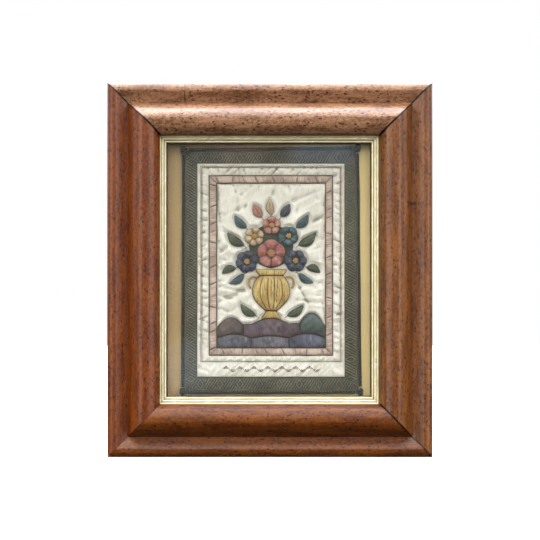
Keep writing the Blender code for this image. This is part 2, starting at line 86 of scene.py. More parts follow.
def curve_through(knots, steps):
    """Smooth curve through (across, height, slope) knots: a cubic between each two, as an array of points."""
    parts = []
    share = np.arange(steps) / steps
    for (x0, y0, m0), (x1, y1, m1) in zip(knots, knots[1:]):
        run = x1 - x0
        rise = y0 * (1 + 2 * share) * (1 - share) ** 2 + y1 * share**2 * (3 - 2 * share)
        bend = run * (m0 * share * (1 - share) ** 2 + m1 * share**2 * (share - 1))
        parts.append(np.stack([x0 + run * share, rise + bend], axis=1))
    return np.concatenate([*parts, [knots[-1][:2]]])


def ripples(at, lengths, seed):
    """Sum of sine waves of the given lengths, each with a seeded phase and weight, of about unit height."""
    draw = np.random.default_rng(seed)
    total = np.zeros_like(at, dtype=float)
    for length in lengths:
        total += draw.uniform(0.6, 1.0) * np.sin(2 * np.pi * at / length + draw.uniform(0, 2 * np.pi))
    return total / math.sqrt(len(lengths))


def length_along(points):
    """Length of a line of points up to each of them."""
    return np.concatenate([[0.0], np.cumsum(np.linalg.norm(np.diff(points, axis=0), axis=1))])


def piece(name, grids, finishes, nodes=(), merge=0.01, sharp=50):
    """A closed mesh from (grid, finish number) pairs. A grid is a dict of arrays with rows and columns: x
    and z over the picture and v off the wall in mm, u and w for the UV map in metres, and any other
    named value of its points. Doubled points are merged, and what is still open is closed."""
    points, faces, finish, count = [], [], [], 0
    for grid, number in grids:
        rows, columns = grid["x"].shape
        index = np.arange(rows * columns).reshape(rows, columns) + count
        count += rows * columns
        corners = (index[:-1, :-1], index[:-1, 1:], index[1:, 1:], index[1:, :-1])
        faces.append(np.stack(corners, axis=-1).reshape(-1, 4))
        finish.append(np.full((rows - 1) * (columns - 1), number))
        points.append(np.stack([grid["x"], -grid["v"], grid["z"]], axis=-1).reshape(-1, 3) * MM)
    faces = np.concatenate(faces)
    mesh = bpy.data.meshes.new(name)
    mesh.from_pydata(np.concatenate(points).tolist(), [], faces.tolist())
    mesh.polygons.foreach_set("material_index", np.concatenate(finish).astype(np.int32))
    uv = np.concatenate([np.stack([grid["u"], grid["w"]], axis=-1).reshape(-1, 2) for grid, _ in grids])
    mesh.uv_layers.new(name="UVMap").uv.foreach_set("vector", uv[faces.ravel()].astype(np.float32).ravel())
    for field in sorted(set(grids[0][0]) - {"x", "z", "v", "u", "w"}):
        values = np.concatenate([grid.get(field, 0 * grid["x"]).ravel() for grid, _ in grids])
        mesh.attributes.new(field, "FLOAT", "POINT").data.foreach_set("value", values.astype(np.float32))
    for material in finishes:
        mesh.materials.append(material)
    shape = bmesh.new()
    shape.from_mesh(mesh)
    bmesh.ops.remove_doubles(shape, verts=shape.verts, dist=merge * MM)
    bmesh.ops.holes_fill(shape, edges=[edge for edge in shape.edges if edge.is_boundary], sides=0)
    bmesh.ops.recalc_face_normals(shape, faces=shape.faces)
    shape.to_mesh(mesh)
    shape.free()
    mesh.shade_smooth()
    mesh.set_sharp_from_angle(angle=math.radians(sharp))
    made = bpy.data.objects.new(name, mesh)
    bpy.context.scene.collection.objects.link(made)
    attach(made, "root")
    if nodes:
        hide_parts(*nodes)
    return made


def rail_grid(side, section, shift=0.0, gaps=(0.0, 0.0), steps=60, wobble=0.0, seed=0, joint=GAP):
    """A moulding of one side: each point (distance in from the frame's edge, height) of a section is
    carried along the side to the mitre at either end, which lies as far in as the point does. A gap
    opens with the square of that distance. ends is the distance to the nearer mitre, several times over
    at a shut one, and the surface wobbles a little along its length."""
    (along_x, along_z), (out_x, out_z) = SIDES[side]
    half_out = 0.5 * (FRAME_TALL if out_z else FRAME_WIDE)
    half_long = 0.5 * (FRAME_WIDE if out_z else FRAME_TALL)
    across, high = section[:, 0][None, :], section[:, 1][None, :]
    opened = np.clip(across / RAIL_WIDE, 0, 1) ** 2
    low = -(half_long - across - 0.5 * joint - gaps[0] * opened)
    top = half_long - across - 0.5 * joint - gaps[1] * opened
    run = low + (top - low) * np.linspace(0, 1, steps + 1)[:, None]
    face = np.clip(high - LEDGE + 6, 0, 10) / 10
    high = high + wobble * face * ripples(run + 3 * across, (47.0, 83.0, 131.0), seed)
    length = length_along(section)[None, :]
    near, far = ((1 if gap > GAP else SHUT_MITRE) for gap in gaps)
    return {
        "x": along_x * run + out_x * (half_out - across) + shift,
        "z": along_z * run + out_z * (half_out - across),
        "v": high + 0 * run,
        "u": run * MM,
        "w": (length + 0 * run) * MM,
        "ends": np.minimum((run - low) * near, (top - run) * far),
    }


class Value:
    """A socket of a node tree. Its sums, differences, products and quotients are Math nodes."""

    def __init__(self, socket):
        self.socket, self.tree = socket, socket.id_data

    def math(self, operation, *others):
        """A Math node of this value and others."""
        return node(self.tree, "Math", dict(enumerate((self, *others))), operation=operation)

    def __add__(self, other):
        return self.math("ADD", other)

    def __sub__(self, other):
        return self.math("SUBTRACT", other)

    def __mul__(self, other):
        return self.math("MULTIPLY", other)

    def __truediv__(self, other):
        return self.math("DIVIDE", other)


def colour_of(code):
    """Linear colour of a hex code."""
    part = np.array([int(code[k : k + 2], 16) / 255 for k in (1, 3, 5)])
    linear = np.where(part <= 0.04045, part / 12.92, ((part + 0.055) / 1.055) ** 2.4)
    return (*linear.tolist(), 1.0)


def feed(made, inputs):
    """Gives a node's sockets a number, vector or hex code each, or the value that they are fed from."""
    for key, value in inputs.items():
        if isinstance(value, Value):
            value.tree.links.new(value.socket, made.inputs[key])
        else:
            made.inputs[key].default_value = colour_of(value) if isinstance(value, str) else value


def node(tree, kind, inputs, output=0, **fields):
    """The value that a new node of a tree gives, once its fields and inputs are set."""
    made = tree.nodes.new(f"ShaderNode{kind}")
    for field, value in fields.items():
        setattr(made, field, value)
    feed(made, inputs)
    return Value(made.outputs[output])


def split(vector):
    """The parts of a vector."""
    return [Value(part) for part in node(vector.tree, "SeparateXYZ", {0: vector}).socket.node.outputs]


def blend(share, first, second, kind="MIX"):
    """A Mix node's colour."""
    return node(share.tree, "Mix", {0: share, 6: first, 7: second}, 2, data_type="RGBA", blend_type=kind)


def between(value, low, high, start=0.0, end=1.0):
    """A value's smooth share of the way from low to high, brought to start and end."""
    inputs = dict(enumerate((value, low, high, start, end)))
    return node(value.tree, "MapRange", inputs, interpolation_type="SMOOTHSTEP")


def noise(vector, scale, detail=3.0, roughness=0.5):
    """A Noise Texture's value."""
    inputs = {"Vector": vector, "Scale": scale, "Detail": detail, "Roughness": roughness}
    return node(vector.tree, "TexNoise", inputs)


def cells(vector, scale):
    """Distance to the nearest of a Voronoi Texture's scattered points."""
    return node(vector.tree, "TexVoronoi", {"Vector": vector, "Scale": scale}, "Distance")


def group(name, inputs, outputs):
    """An empty shader group with named inputs and outputs, each given its kind of socket: its inputs by
    name, and the node that takes its outputs."""
    tree = bpy.data.node_groups.new(name, "ShaderNodeTree")
    for way, sockets in (("INPUT", inputs), ("OUTPUT", outputs)):
        for label, kind in sockets.items():
            tree.interface.new_socket(name=label, in_out=way, socket_type=f"NodeSocket{kind}")
    given = tree.nodes.new("NodeGroupInput").outputs
    return {label: Value(given[label]) for label in inputs}, tree.nodes.new("NodeGroupOutput")


def use(tree, kind, inputs):
    """Places a group in a material with its inputs, and gives its outputs by name."""
    placed = node(tree, "Group", inputs, node_tree=kind).socket.node
    return {output.name: Value(output) for output in placed.outputs}


def surface(name, **fields):
    """A new material, its tree and its Principled BSDF, with plain values for the shader's own sockets."""
    made = bpy.data.materials.new(name)
    made.use_nodes = True
    shader = made.node_tree.nodes["Principled BSDF"]
    feed(shader, {field.replace("_", " "): value for field, value in fields.items()})
    return made, made.node_tree, shader


def uv_map(tree):
    """The piece's own UV map, in metres."""
    return node(tree, "UVMap", {}, uv_map="UVMap")


def place_of(tree):
    """Object coordinates, in metres."""
    return node(tree, "TexCoord", {}, "Object")


def drawn(vector, first=1, second=1, third=1, turn=0, shift=0):
    """A vector scaled along each of its axes, turned, and moved along the first."""
    scale = (first, second, third)
    inputs = {"Vector": vector, "Location": (shift, 0, 0), "Rotation": (0, 0, turn), "Scale": scale}
    return node(vector.tree, "Mapping", inputs)


def field_of(tree, name):
    """A named value of the piece's points."""
    return node(tree, "Attribute", {}, "Fac", attribute_name=name)


def finish(shader, colour, height, strength=0.3, depth=0.0003):
    """Feeds a colour, and a bump of the given depth in metres, into a shader."""
    inputs = {"Strength": strength, "Distance": depth, "Height": height}
    feed(shader, {"Base Color": colour, "Normal": node(height.tree, "Bump", inputs)})


def birdseye_veneer():
    """Bird's-eye maple: clouds and a mottle of two tones, fibres drawn out along the rail, and dark eyes
    where a point of scattered cells is near, bent by noise, with small pips between them."""
    sockets = {"Vector": "Vector", "Dark": "Color", "Light": "Color", "Eye": "Color"}
    given, out = group("birdseye_veneer", sockets, {"Color": "Color", "Height": "Float"})
    at = given["Vector"]
    sway = node(at.tree, "TexNoise", {"Vector": at, "Scale": 420.0, "Detail": 2.0}, "Color")
    bent = node(at.tree, "VectorMath", {0: sway, 1: (0.0032,) * 3, 2: at}, operation="MULTIPLY_ADD")
    slant = drawn(bent, 0.6, turn=0.5)
    cloud = noise(drawn(at, 0.2), 85.0, 4.0, 0.6)
    mottle = noise(drawn(at, 0.6), 330.0, 4.0, 0.65)
    line = noise(drawn(at, 0.1), 900.0)
    cluster = noise(at, 75.0, 2.0)
    tone = between(cloud, 0.34, 0.66) * 0.5 + mottle * 1.9 + line * 0.5 - 0.95
    spots = between(cells(slant, 250.0), 0.34, 0.22) * between(cluster, 0.44, 0.52)
    pips = between(cells(slant, 480.0), 0.36, 0.2) * between(cluster, 0.34, 0.5, 0.1, 0.65)
    eyes = spots.math("MAXIMUM", pips)
    wood = blend(between(tone, 0.0, 1.0), given["Dark"], given["Light"])
    feed(out, {"Color": blend(eyes * 0.88, wood, given["Eye"]), "Height": line * 0.3 + mottle * 0.6 - eyes})
    return at.tree


VENEER = birdseye_veneer()


def maple(name, dark, light, coat, along, scar):
    """Veneer for one rail: painted shade in the quirk and at the sight edge, and dark glue at the mitres. A
    scar, (along, across, half width, half length) in mm, is a joint of the veneer or a knot."""
    made, tree, shader = surface(name, Roughness=0.4, Coat_Weight=coat, Coat_Roughness=0.24, IOR=1.33)
    uv = uv_map(tree)
    tones = {"Dark": dark, "Light": light, "Eye": "#2E0E04"}
    wood = use(tree, VENEER, {"Vector": drawn(uv, shift=along), **tones})
    # Painted shade in the quirk and at the sight edge, from the rail's hollow field
    colour = blend(field_of(tree, "hollow") * 0.8, wood["Color"], "#2B1208")
    colour = blend(between(field_of(tree, "ends"), 1.5, 0.8), colour, "#120805")
    high = wood["Height"]
    if scar:
        u, w, _ = split(uv)
        mid_u, mid_w, half_wide, half_long = (value * MM for value in scar)
        aside = (u + noise(uv, 190.0) * 0.005 - (0.0025 + mid_u)).math("ABSOLUTE")
        crack = between(aside, half_wide, 0.3 * half_wide)
        crack *= between((w - mid_w).math("ABSOLUTE"), half_long, 0.8 * half_long)
        colour, high = blend(crack * 0.85, colour, "#1C0E08"), high - crack
    finish(shader, colour, high, 0.5)
    return made


def pine(name, dark, light, by_place=False):
    """Bare pine: soft bands of grain along its length, and a grey bloom of old dust."""
    made, tree, shader = surface(name, Roughness=0.75)
    at, stretch = (place_of(tree), (1, 1, 0.03)) if by_place else (uv_map(tree), (0.03,))
    bands = noise(drawn(at, *stretch), 420.0, 4.0, 0.6)
    dust = between(noise(at, 40.0, 4.0), 0.5, 0.8, 0.0, 0.5)
    colour = blend(between(bands, 0.35, 0.65), dark, light)
    finish(shader, blend(dust, colour, "#56493A"), bands, 0.3, 0.0004)
    return made


RAIL_PINE = pine("rail_pine", "#60421F", "#866238")
# Each rail: dark and light tone of its veneer, polish, place along the veneer, and its scar, if any
RAIL_VENEER = {
    "top": ("#6E482D", "#B58A69", 1.0, 1.3, (-102.0, 14.0, 0.8, 16.0)),
    "bottom": ("#4C2406", "#794213", 0.28, 2.9, None),
    "left": ("#552103", "#7F4004", 0.6, 4.1, None),
    "right": ("#582C09", "#834F1B", 0.7, 5.7, (-79.5, 32.5, 2.4, 9.5)),
}
RAIL_FACE = np.concatenate([curve_through(RAIL_BEAD, 12), curve_through(RAIL_CUSHION, 14)])
REBATE = ((RAIL_WIDE, LEDGE), (REBATE_EDGE, LEDGE), (REBATE_EDGE, 0), (0, 0))
RAIL_REAR = np.array([RAIL_CUSHION[-1][:2], *REBATE, RAIL_BEAD[0][:2]])
# Painted shade: the veneer darkens in the quirk and along the sight edge
QUIRK = 23.7
RAIL_PAINTED_SHADE = 0.3 * np.clip(1 - np.abs(RAIL_FACE[:, 0] - QUIRK) / 1.6, 0, 1)
RAIL_PAINTED_SHADE += np.clip(1 - (RAIL_WIDE - RAIL_FACE[:, 0]) / 1.4, 0, 1)
for k, (side, looks) in enumerate(RAIL_VENEER.items()):
    gaps = [MITRES[corner] for corner in ENDS[side]]
    face = rail_grid(side, RAIL_FACE, gaps=gaps, wobble=0.12, seed=k)
    face["hollow"] = RAIL_PAINTED_SHADE[None, :] + 0 * face["x"]
    rear = rail_grid(side, RAIL_REAR, joint=0.0)
    for field in "xzv":
        rear[field][:, 0] = face[field][:, -1]
        rear[field][:, -1] = face[field][:, 0]
    finishes = [maple(f"maple_{side}", *looks), RAIL_PINE]
    piece(f"maple_rail_{side}", [(face, 0), (rear, 1)], finishes, [f"rail_{side}"])

# Gilt slip
# A narrow gilt moulding inside the sight edge, mitred in four lengths. It holds the glass, and its gold
# leaf is rubbed on the bead and toned brown in the hollows, partly as patina and partly as painted shade.
SLIP_BACK = 16.2
SLIP_SHIFT = -1.1
FLANGE_EDGE = 58.4
FLANGE_THICK = 4.8
# Across from the rail's sight edge, and height over the slip's back
SLIP_FACE = (
    (0.4, 4.8),
    (0.9, 3.6),
    (2.2, 3.3),
    (2.7, 4.1),
    (3.9, 4.8),
    (5.1, 4.1),
    (5.6, 2.8),
    (6.3, 3.4),
    (7.9, 3.2),
    (8.2, 2.2),
    (9.7, 0.9),
    (9.7, 0.0),
)


def rounded(points, rounds):
    """Cuts the corners of a line of points: each side keeps its middle half, so a corner gives way to two
    points a quarter of the way along its sides."""
    for _ in range(rounds):
        near, far = 0.75 * points[:-1] + 0.25 * points[1:], 0.25 * points[:-1] + 0.75 * points[1:]
        cut = np.stack([near, far], axis=1).reshape(-1, points.shape[1])
        points = np.concatenate([points[:1], cut, points[-1:]])
    return points


def gilding():
    """Old gold leaf: clouds of tone along the length, brown toning in the hollows that is partly patina and
    partly painted shade, a few rubbed spots of bole on the high lines, one worn streak, and a duller skin
    where the clouds are dark."""
    made, tree, shader = surface("gilding", Metallic=0.35)
    uv, hollow = uv_map(tree), field_of(tree, "hollow")
    cloud = noise(drawn(uv, 0.3), 160.0, 4.0)
    colour = blend(between(cloud, 0.35, 0.65), "#E2DDB0", "#FFFBDC")
    colour = blend(between(hollow, 0.3, 0.95), colour, "#3E3218")
    rub = noise(drawn(uv, 0.4), 900.0, 4.0, 0.7) + hollow
    colour = blend(between(rub, 0.3, 0.22, 0.0, 0.6), colour, "#7A5A3A")
    colour = blend(field_of(tree, "worn"), colour, "#2C2416")
    feed(shader, {"Roughness": between(cloud, 0.3, 0.7, 0.42, 0.24)})
    finish(shader, colour, cloud, 0.15, 0.0002)
    return made


GILT = gilding()
# The worn streak: left, right, height up the picture, half width
STREAK = (-101.0, -71.0, -151.9, 0.75)
slip_face = rounded(np.array(SLIP_FACE) + (RAIL_WIDE, SLIP_BACK), 3)
flange_in = FLANGE_EDGE - RAIL_WIDE
slip_flange = np.array([(9.7, 0), (flange_in, 0), (flange_in, FLANGE_THICK), (0.4, FLANGE_THICK)])
slip_flange += (RAIL_WIDE, SLIP_BACK)
# How far each point lies below a line from the bead's crest down to the fillet's
slip_across = slip_face[:, 0] - RAIL_WIDE
to_crest = np.interp(slip_across, (0.4, 3.9, 7.0, 9.7), (4.4, 4.6, 3.3, 2.4))
slip_patina_and_shade = np.clip((to_crest + SLIP_BACK - slip_face[:, 1]) / 1.3, 0, 1)
slip_patina_and_shade *= np.where(slip_across < 2.8, 0.62, 1.0)
# Painted shade: dark lines in the groove behind the bead and at the fillet's edge
for groove, half in ((5.7, 0.55), (8.4, 0.4)):
    slip_patina_and_shade = np.maximum(slip_patina_and_shade, np.exp(-(((slip_across - groove) / half) ** 2)))
left, right, level, half = STREAK
for side in SIDES:
    face = rail_grid(side, slip_face, SLIP_SHIFT, steps=120)
    face["hollow"] = slip_patina_and_shade[None, :] + 0 * face["x"]
    in_streak = (face["x"] > left) & (face["x"] < right) & (np.abs(face["z"] - level) < half)
    face["worn"] = np.where(in_streak, 0.9, 0.0)
    faces = [(face, 0), (rail_grid(side, slip_flange, SLIP_SHIFT, steps=120), 1)]
    piece(f"gilt_slip_{side}", faces, [GILT, RAIL_PINE], [f"slip_{side}"], sharp=60)

# Backboard, gold mount and glass
# The CAD solids have the right shapes: a pine board, a card covered in pebbled gold paper, and the old
# picture glass. They get their finishes here.


def gold_paper():
    """Gold paper with a pebbled surface, dulled by brown clouds, darker and browner towards the left as
    painted shade, and with its gold worn to specks."""
    made, tree, shader = surface("gold_paper", Metallic=0.05, Roughness=0.5)
    at = place_of(tree)
    speck = noise(at, 1400.0, 2.0)
    # Painted shade: the paper grows darker and browner towards the left; the clouds vary at random
    tone = between(split(at)[0], -0.1, 0.1) + between(noise(at, 16.0, 4.0), 0.3, 0.7, -0.2, 0.2)
    colour = blend(between(tone, 0.0, 1.0), "#BC9E6C", "#FFE6A2")
    colour = blend(between(speck, 0.5, 0.75, 0.0, 0.6), colour, "#FBE9BC")
    finish(shader, colour, speck - cells(at, 900.0), 0.5)
    return made


CLEAR = {"Base_Color": (0.98, 1.0, 0.985, 1.0), "Roughness": 0.0, "IOR": 1.5, "Transmission_Weight": 1.0}
BOARDS = {
    "glass": surface("old_glass", **CLEAR)[0],
    "gold_mount": gold_paper(),
    "backboard": pine("board_pine", "#5C4526", "#7E6238", True),
}
for board, material in BOARDS.items():
    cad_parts[board].material_slots[0].material = material
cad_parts["glass"].visible_shadow = False

# Ivory satin panel
# One sheet of ivory satin over wadding. Stitched lines quilt it into a field, a margin and a rim, and
# it is pulled into creases between them and round the padded work.
PANEL = (-87.7, 91.0, -129.2, 129.6)
LINE = (-82.2, 85.9, -110.7, 124.7)
BAND_OUTER = (-73.3, 76.5, -103.1, 114.8)
BAND_INNER = (-64.2, 68.0, -94.3, 105.9)
MIDDLE = 1.9
CLOTH_BACK = 6.6
SATIN_FLAT = 7.8
WORK_BACK = 8.1
PATCH = (0.0, 29.5, 27.0)
# Blossoms: name, x, z, radius, petals, turn in degrees, crown, material slot
BLOSSOMS = (
    ("rose", 0, 20.5, 17, 5, 90, 3.3, "silk_rose"),
    ("aster_left", -29.5, 10.5, 13.5, 6, 15, 2.9, "silk_navy"),
    ("aster_right", 29.5, 11.5, 13.5, 6, 0, 2.9, "silk_navy"),
    ("daisy_left", -20.5, 41, 11.5, 6, 20, 2.6, "silk_cream"),
    ("daisy_right", 21, 41.5, 12, 5, 50, 2.6, "silk_teal"),
    ("peony_top", 0.5, 54.5, 11, 5, 90, 2.7, "silk_coral"),
)
# Leaves and buds: name, foot x, foot z, tip x, tip z, half width, bend, material slot
LEAVES = (
    ("leaf_left_high", -33.5, 30, -53, 45.5, 5.4, 2.5, "silk_leaf"),
    ("leaf_left_low", -43, 3, -59.5, -3.5, 4.6, -2, "silk_leaf"),
    ("leaf_left_droop", -33, -4.8, -50.5, -16, 4.2, 2, "silk_teal"),
    ("leaf_left_top", -30, 51.5, -44, 66.5, 4.8, 2, "silk_teal"),
    ("leaf_right_high", 33.5, 30.5, 54, 45, 5.4, -2.5, "silk_leaf"),
    ("leaf_right_low", 43, 4, 59.5, -2.5, 4.6, 2, "silk_leaf"),
    ("leaf_right_droop", 33.5, -4.2, 51, -15, 4.2, -2, "silk_teal"),
    ("leaf_right_top", 31, 52, 45, 67, 4.8, -2, "silk_teal"),
    ("bud_left", -11.5, 64.5, -21, 80, 5.2, 1, "silk_coral"),
    ("bud_right", 12, 65, 22.5, 80.5, 5.2, -1, "silk_navy"),
    ("bud_top", 0.5, 67.2, -1, 86.5, 4.6, 1.5, "silk_cream"),
    ("fern_left", -19, -55, -37, -41, 4.5, 2.5, "silk_leaf"),
    ("fern_right", 20, -55, 39, -42.5, 4.5, -2.5, "silk_leaf"),
)
# Urn: height up the picture, half width
URN_FOOT = ((-57.4, 11.6), (-54.4, 11.0), (-52.0, 7.2), (-49.6, 6.2))
URN_BOWL = ((-49.2, 6.6), (-44.0, 12.5), (-35.0, 21.0), (-25.0, 23.5), (-14.0, 20.5), (-6.2, 14.6))
URN_LIP = ((-5.8, 14.8), (-3.4, 16.6), (-1.2, 18.6), (1.4, 18.0))
HANDLE = ((17.6, -8.4), (22.4, -7.0), (26.8, -10.2), (28.0, -16.0), (24.8, -21.6))
HANDLE_HALF = 1.6
# Hills: name, left, right, side height, crest height, crown, material slot
FRONT_HILLS = (
    ("hill_front_left", -65.8, -24.2, 11, 16, 2, "silk_slate"),
    ("hill_front_middle", -23.7, 21.7, 11, 14, 1.8, "silk_moss"),
    ("hill_front_right", 22.2, 65.8, 11, 17, 2, "silk_slate"),
)
BACK_HILLS = (
    ("hill_back_left", -65.8, -34.7, 13, 20, 2.6, "silk_brown"),
    ("hill_back_middle", -34.2, 34.2, 13, 21, 2.8, "silk_mauve"),
    ("hill_back_right", 34.7, 65.8, 14, 25, 3, "silk_slate"),
)
HILL_GAP = 0.5
HILL_FOOT = BAND_INNER[2] + HILL_GAP
# Main creases of the field: from x, from z, to x, to z, half width, depth
CREASES = (
    (-63, 62, -30, 78, 6, 0.7),
    (-62, 22, -47, 30, 5, 0.8),
    (-60, -20, -26, -26, 5, 0.9),
    (-62, -38, -40, -30, 5, 0.7),
    (28, 84, 64, 100, 6, 0.8),
    (52, 58, 67, 66, 5, 0.7),
    (30, -22, 66, -14, 5, 0.9),
    (34, -36, 66, -40, 5, 0.8),
    (-34, 92, -20, 104, 5, 0.6),
    (4, 92, 8, 105, 5, 0.6),
)
# Smaller folds, in the same order; a depth below 0 is a ridge
FOLDS = (
    (-64, 55, -46, 51, 2.2, -0.5),
    (-62, 48, -52, 46, 1.8, 0.4),
    (-60, 84, -38, 92, 2.4, -0.5),
    (-63, 70, -52, 66, 1.8, 0.35),
    (-45, 104, -40, 92, 2, 0.4),
    (-14, 105, -12, 94, 1.8, 0.4),
    (-26, 105, -27, 96, 1.6, -0.35),
    (14, 105, 20, 90, 2, -0.5),
    (22, 105, 26, 96, 1.6, 0.35),
    (36, 105, 38, 97, 1.5, 0.35),
    (67, 86, 44, 74, 2.2, -0.55),
    (67, 80, 58, 76, 1.6, 0.35),
    (67, 50, 57, 46, 1.8, 0.4),
    (67, 30, 50, 24, 2, 0.45),
    (67, 36, 56, 33, 1.6, -0.35),
    (67, 10, 58, 10, 1.8, -0.4),
    (67, -7, 44, -5, 2.2, 0.5),
    (67, -22, 46, -27, 2, -0.45),
    (67, -31, 50, -30, 1.8, 0.4),
    (67, -47, 56, -45, 1.8, 0.4),
    (-64, 14, -50, 12, 2, 0.45),
    (-64, 36, -54, 36, 1.6, 0.35),
    (-64, 6, -56, 4, 1.6, -0.35),
    (-64, -8, -44, -6, 2.2, -0.5),
    (-64, -13, -54, -14, 1.8, 0.4),
    (-64, -28, -36, -38, 2.2, 0.5),
    (-64, -46, -48, -50, 2, 0.4),
    (-64, -33, -52, -36, 1.6, -0.4),
    (-33, 66, -24, 90, 3, 0.4),
    (34, 64, 30, 88, 3, 0.4),
)
FIELD_PUFF = 3.2
MARGIN_PUFF = 2.7
EDGE_PUFF = 1.8
SATIN_RISE = 3.8
# Below this height the field's puffs level out softly
SOFT_FLOOR = 0.9
# Depth of the creases of each table, and of the puckers in the margin and at the rim
CREASE_DEEP = 1.9
FOLD_DEEP = 1.7
PUCKER_DEEP = 0.45
MARGIN_DEEP = 1.2
RIM_DEEP = 0.9


def ease(share):
    """Smooth step from 0 to 1."""
    share = np.clip(share, 0, 1)
    return share * share * (3 - 2 * share)


def inside(box, x, z):
    """Distance in from the nearest side of a left, right, bottom, top box, negative outside it."""
    left, right, bottom, top = box
    return np.minimum.reduce([x - left, right - x, z - bottom, top - z])


def crown(a, b):
    """A cushion's rise between two seams at distances a and b: 1 midway and 0 on either seam."""
    return np.clip(4 * a * b / np.maximum(a + b, 1e-6) ** 2, 0, None) ** 0.7


def to_segment(x, z, x0, z0, x1, z1):
    """Distance to the straight line between two points, and the share of the way along it."""
    way_x, way_z = x1 - x0, z1 - z0
    share = np.clip(((x - x0) * way_x + (z - z0) * way_z) / (way_x**2 + way_z**2), 0, 1)
    return np.hypot(x - x0 - way_x * share, z - z0 - way_z * share), share


def top_line(hills, x):
    """Height of a row of hills at x over the line that they stand on: half a sine wave over each hill."""
    high = np.zeros_like(x, dtype=float)
    for _, left, right, side, crest, *_ in hills[::-1]:
        over = side + (crest - side) * np.sin(np.pi * np.clip((x - left) / (right - left), 0, 1))
        high = np.where((x < right + 0.5 * HILL_GAP) | (high == 0), over, high)
    return high


def back_foot(x):
    """The line that the back hills stand on, a little over the front ones."""
    return HILL_FOOT + top_line(FRONT_HILLS, x) + HILL_GAP


def back_top(x):
    """The skyline of the back hills."""
    return back_foot(x) + top_line(BACK_HILLS, x)


def width_at(rows, z):
    """Half width at a height, straight between the rows of a (height, half width) table."""
    return np.interp(z, *np.array(rows).T)


def leaf_line(foot, tip, bend, s):
    """The bent middle line of a leaf at shares s of its length, and the direction across it."""
    foot, tip = np.array(foot), np.array(tip)
    aside = np.array([foot[1] - tip[1], tip[0] - foot[0]]) / np.linalg.norm(tip - foot)
    return foot + (tip - foot) * s[..., None] + aside * (bend * np.sin(np.pi * s))[..., None], aside


def to_leaf(x, z, foot_x, foot_z, tip_x, tip_z, half, bend):
    """Distance to a leaf's edge: to its middle line in five straight parts, less its width there."""
    stops = np.linspace(0, 1, 6)
    line, _ = leaf_line((foot_x, foot_z), (tip_x, tip_z), bend, stops)
    found = []
    for low, start, end in zip(stops, line, line[1:]):
        away, share = to_segment(x, z, *start, *end)
        wide = np.clip(np.sin(np.pi * (low + 0.2 * share) ** 0.85), 0, None) ** 0.8
        found.append(away - half * wide)
    return np.minimum.reduce(found)


def to_work(x, z):
    """Distance from a point of the field to the nearest flower, leaf, urn or hill."""
    x = x - MIDDLE
    found = [np.hypot(x - bx, z - bz) - radius for _, bx, bz, radius, *_ in BLOSSOMS]
    found += [to_leaf(x, z, *row[1:7]) for row in LEAVES]
    found += [np.hypot(x - PATCH[0], z - PATCH[1]) - PATCH[2], z - back_top(x)]
    for rows in (URN_FOOT, URN_BOWL, URN_LIP):
        low, high = rows[0][0], rows[-1][0]
        aside = np.abs(x) - width_at(rows, np.clip(z, low, high))
        above = np.maximum(0, np.maximum(low - z, z - high))
        found.append(np.hypot(np.maximum(0, aside), above) + np.minimum(0, aside))
    for start, end in zip(HANDLE, HANDLE[1:]):
        found.append(to_segment(np.abs(x), z, *start, *end)[0] - HANDLE_HALF)
    return np.minimum.reduce(found)


def puckers(box, reach, spacing, seed):
    """Short creases that run out from the sides of a box of seams, or in where the reach is negative, at
    uneven steps and slants. Each is x, z, x, z, half width, depth, and every second one is a ridge."""
    draw = np.random.default_rng(seed)
    left, right, bottom, top = box
    rows = []
    sides = ((left, bottom, -1, 0), (right, bottom, 1, 0), (left, top, 0, 1), (left, bottom, 0, -1))
    for start_x, start_z, way_x, way_z in sides:
        at = draw.uniform(0.3, 1.0) * spacing
        while at < (right - left if way_z else top - bottom):
            x, z = start_x + at * abs(way_z), start_z + at * abs(way_x)
            far, slant = reach * draw.uniform(0.7, 1.25), reach * draw.uniform(-0.7, 0.7)
            end = (x + way_x * far + slant * abs(way_z), z + way_z * far + slant * abs(way_x))
            deep = draw.uniform(0.5, 1.2) * (1 if len(rows) % 2 else -0.9)
            rows.append((x, z, *end, draw.uniform(1.1, 2.3), deep))
            at += spacing * draw.uniform(0.45, 1.5)
    return rows


MARGIN_PUCKERS = puckers(BAND_OUTER, 15.0, 6.0, 11)
MARGIN_PUCKERS += [(-73.3, -103.1, -87.0, -117.5, 1.6, -1.2), (76.5, -103.1, 90.0, -117.0, 1.6, -1.0)]
FIELD_PUCKERS = puckers(BAND_INNER, -13.0, 7.0, 23)


def creased(x, z, rows):
    """Depth of creases: each falls off across its width as a bell, and tapers towards its ends."""
    deep = np.zeros_like(x)
    for *ends, half, depth in rows:
        away, share = to_segment(x, z, *ends)
        deep += depth * np.exp(-((away / half) ** 2)) * (0.25 + 0.75 * np.sin(np.pi * share))
    return deep


def puffs(at, lengths, seed):
    """Soft puffs from 0 to about 1 with sharp troughs between: the size of a sum of sine waves."""
    return np.sqrt(ripples(at, lengths, seed) ** 2 + 0.01)


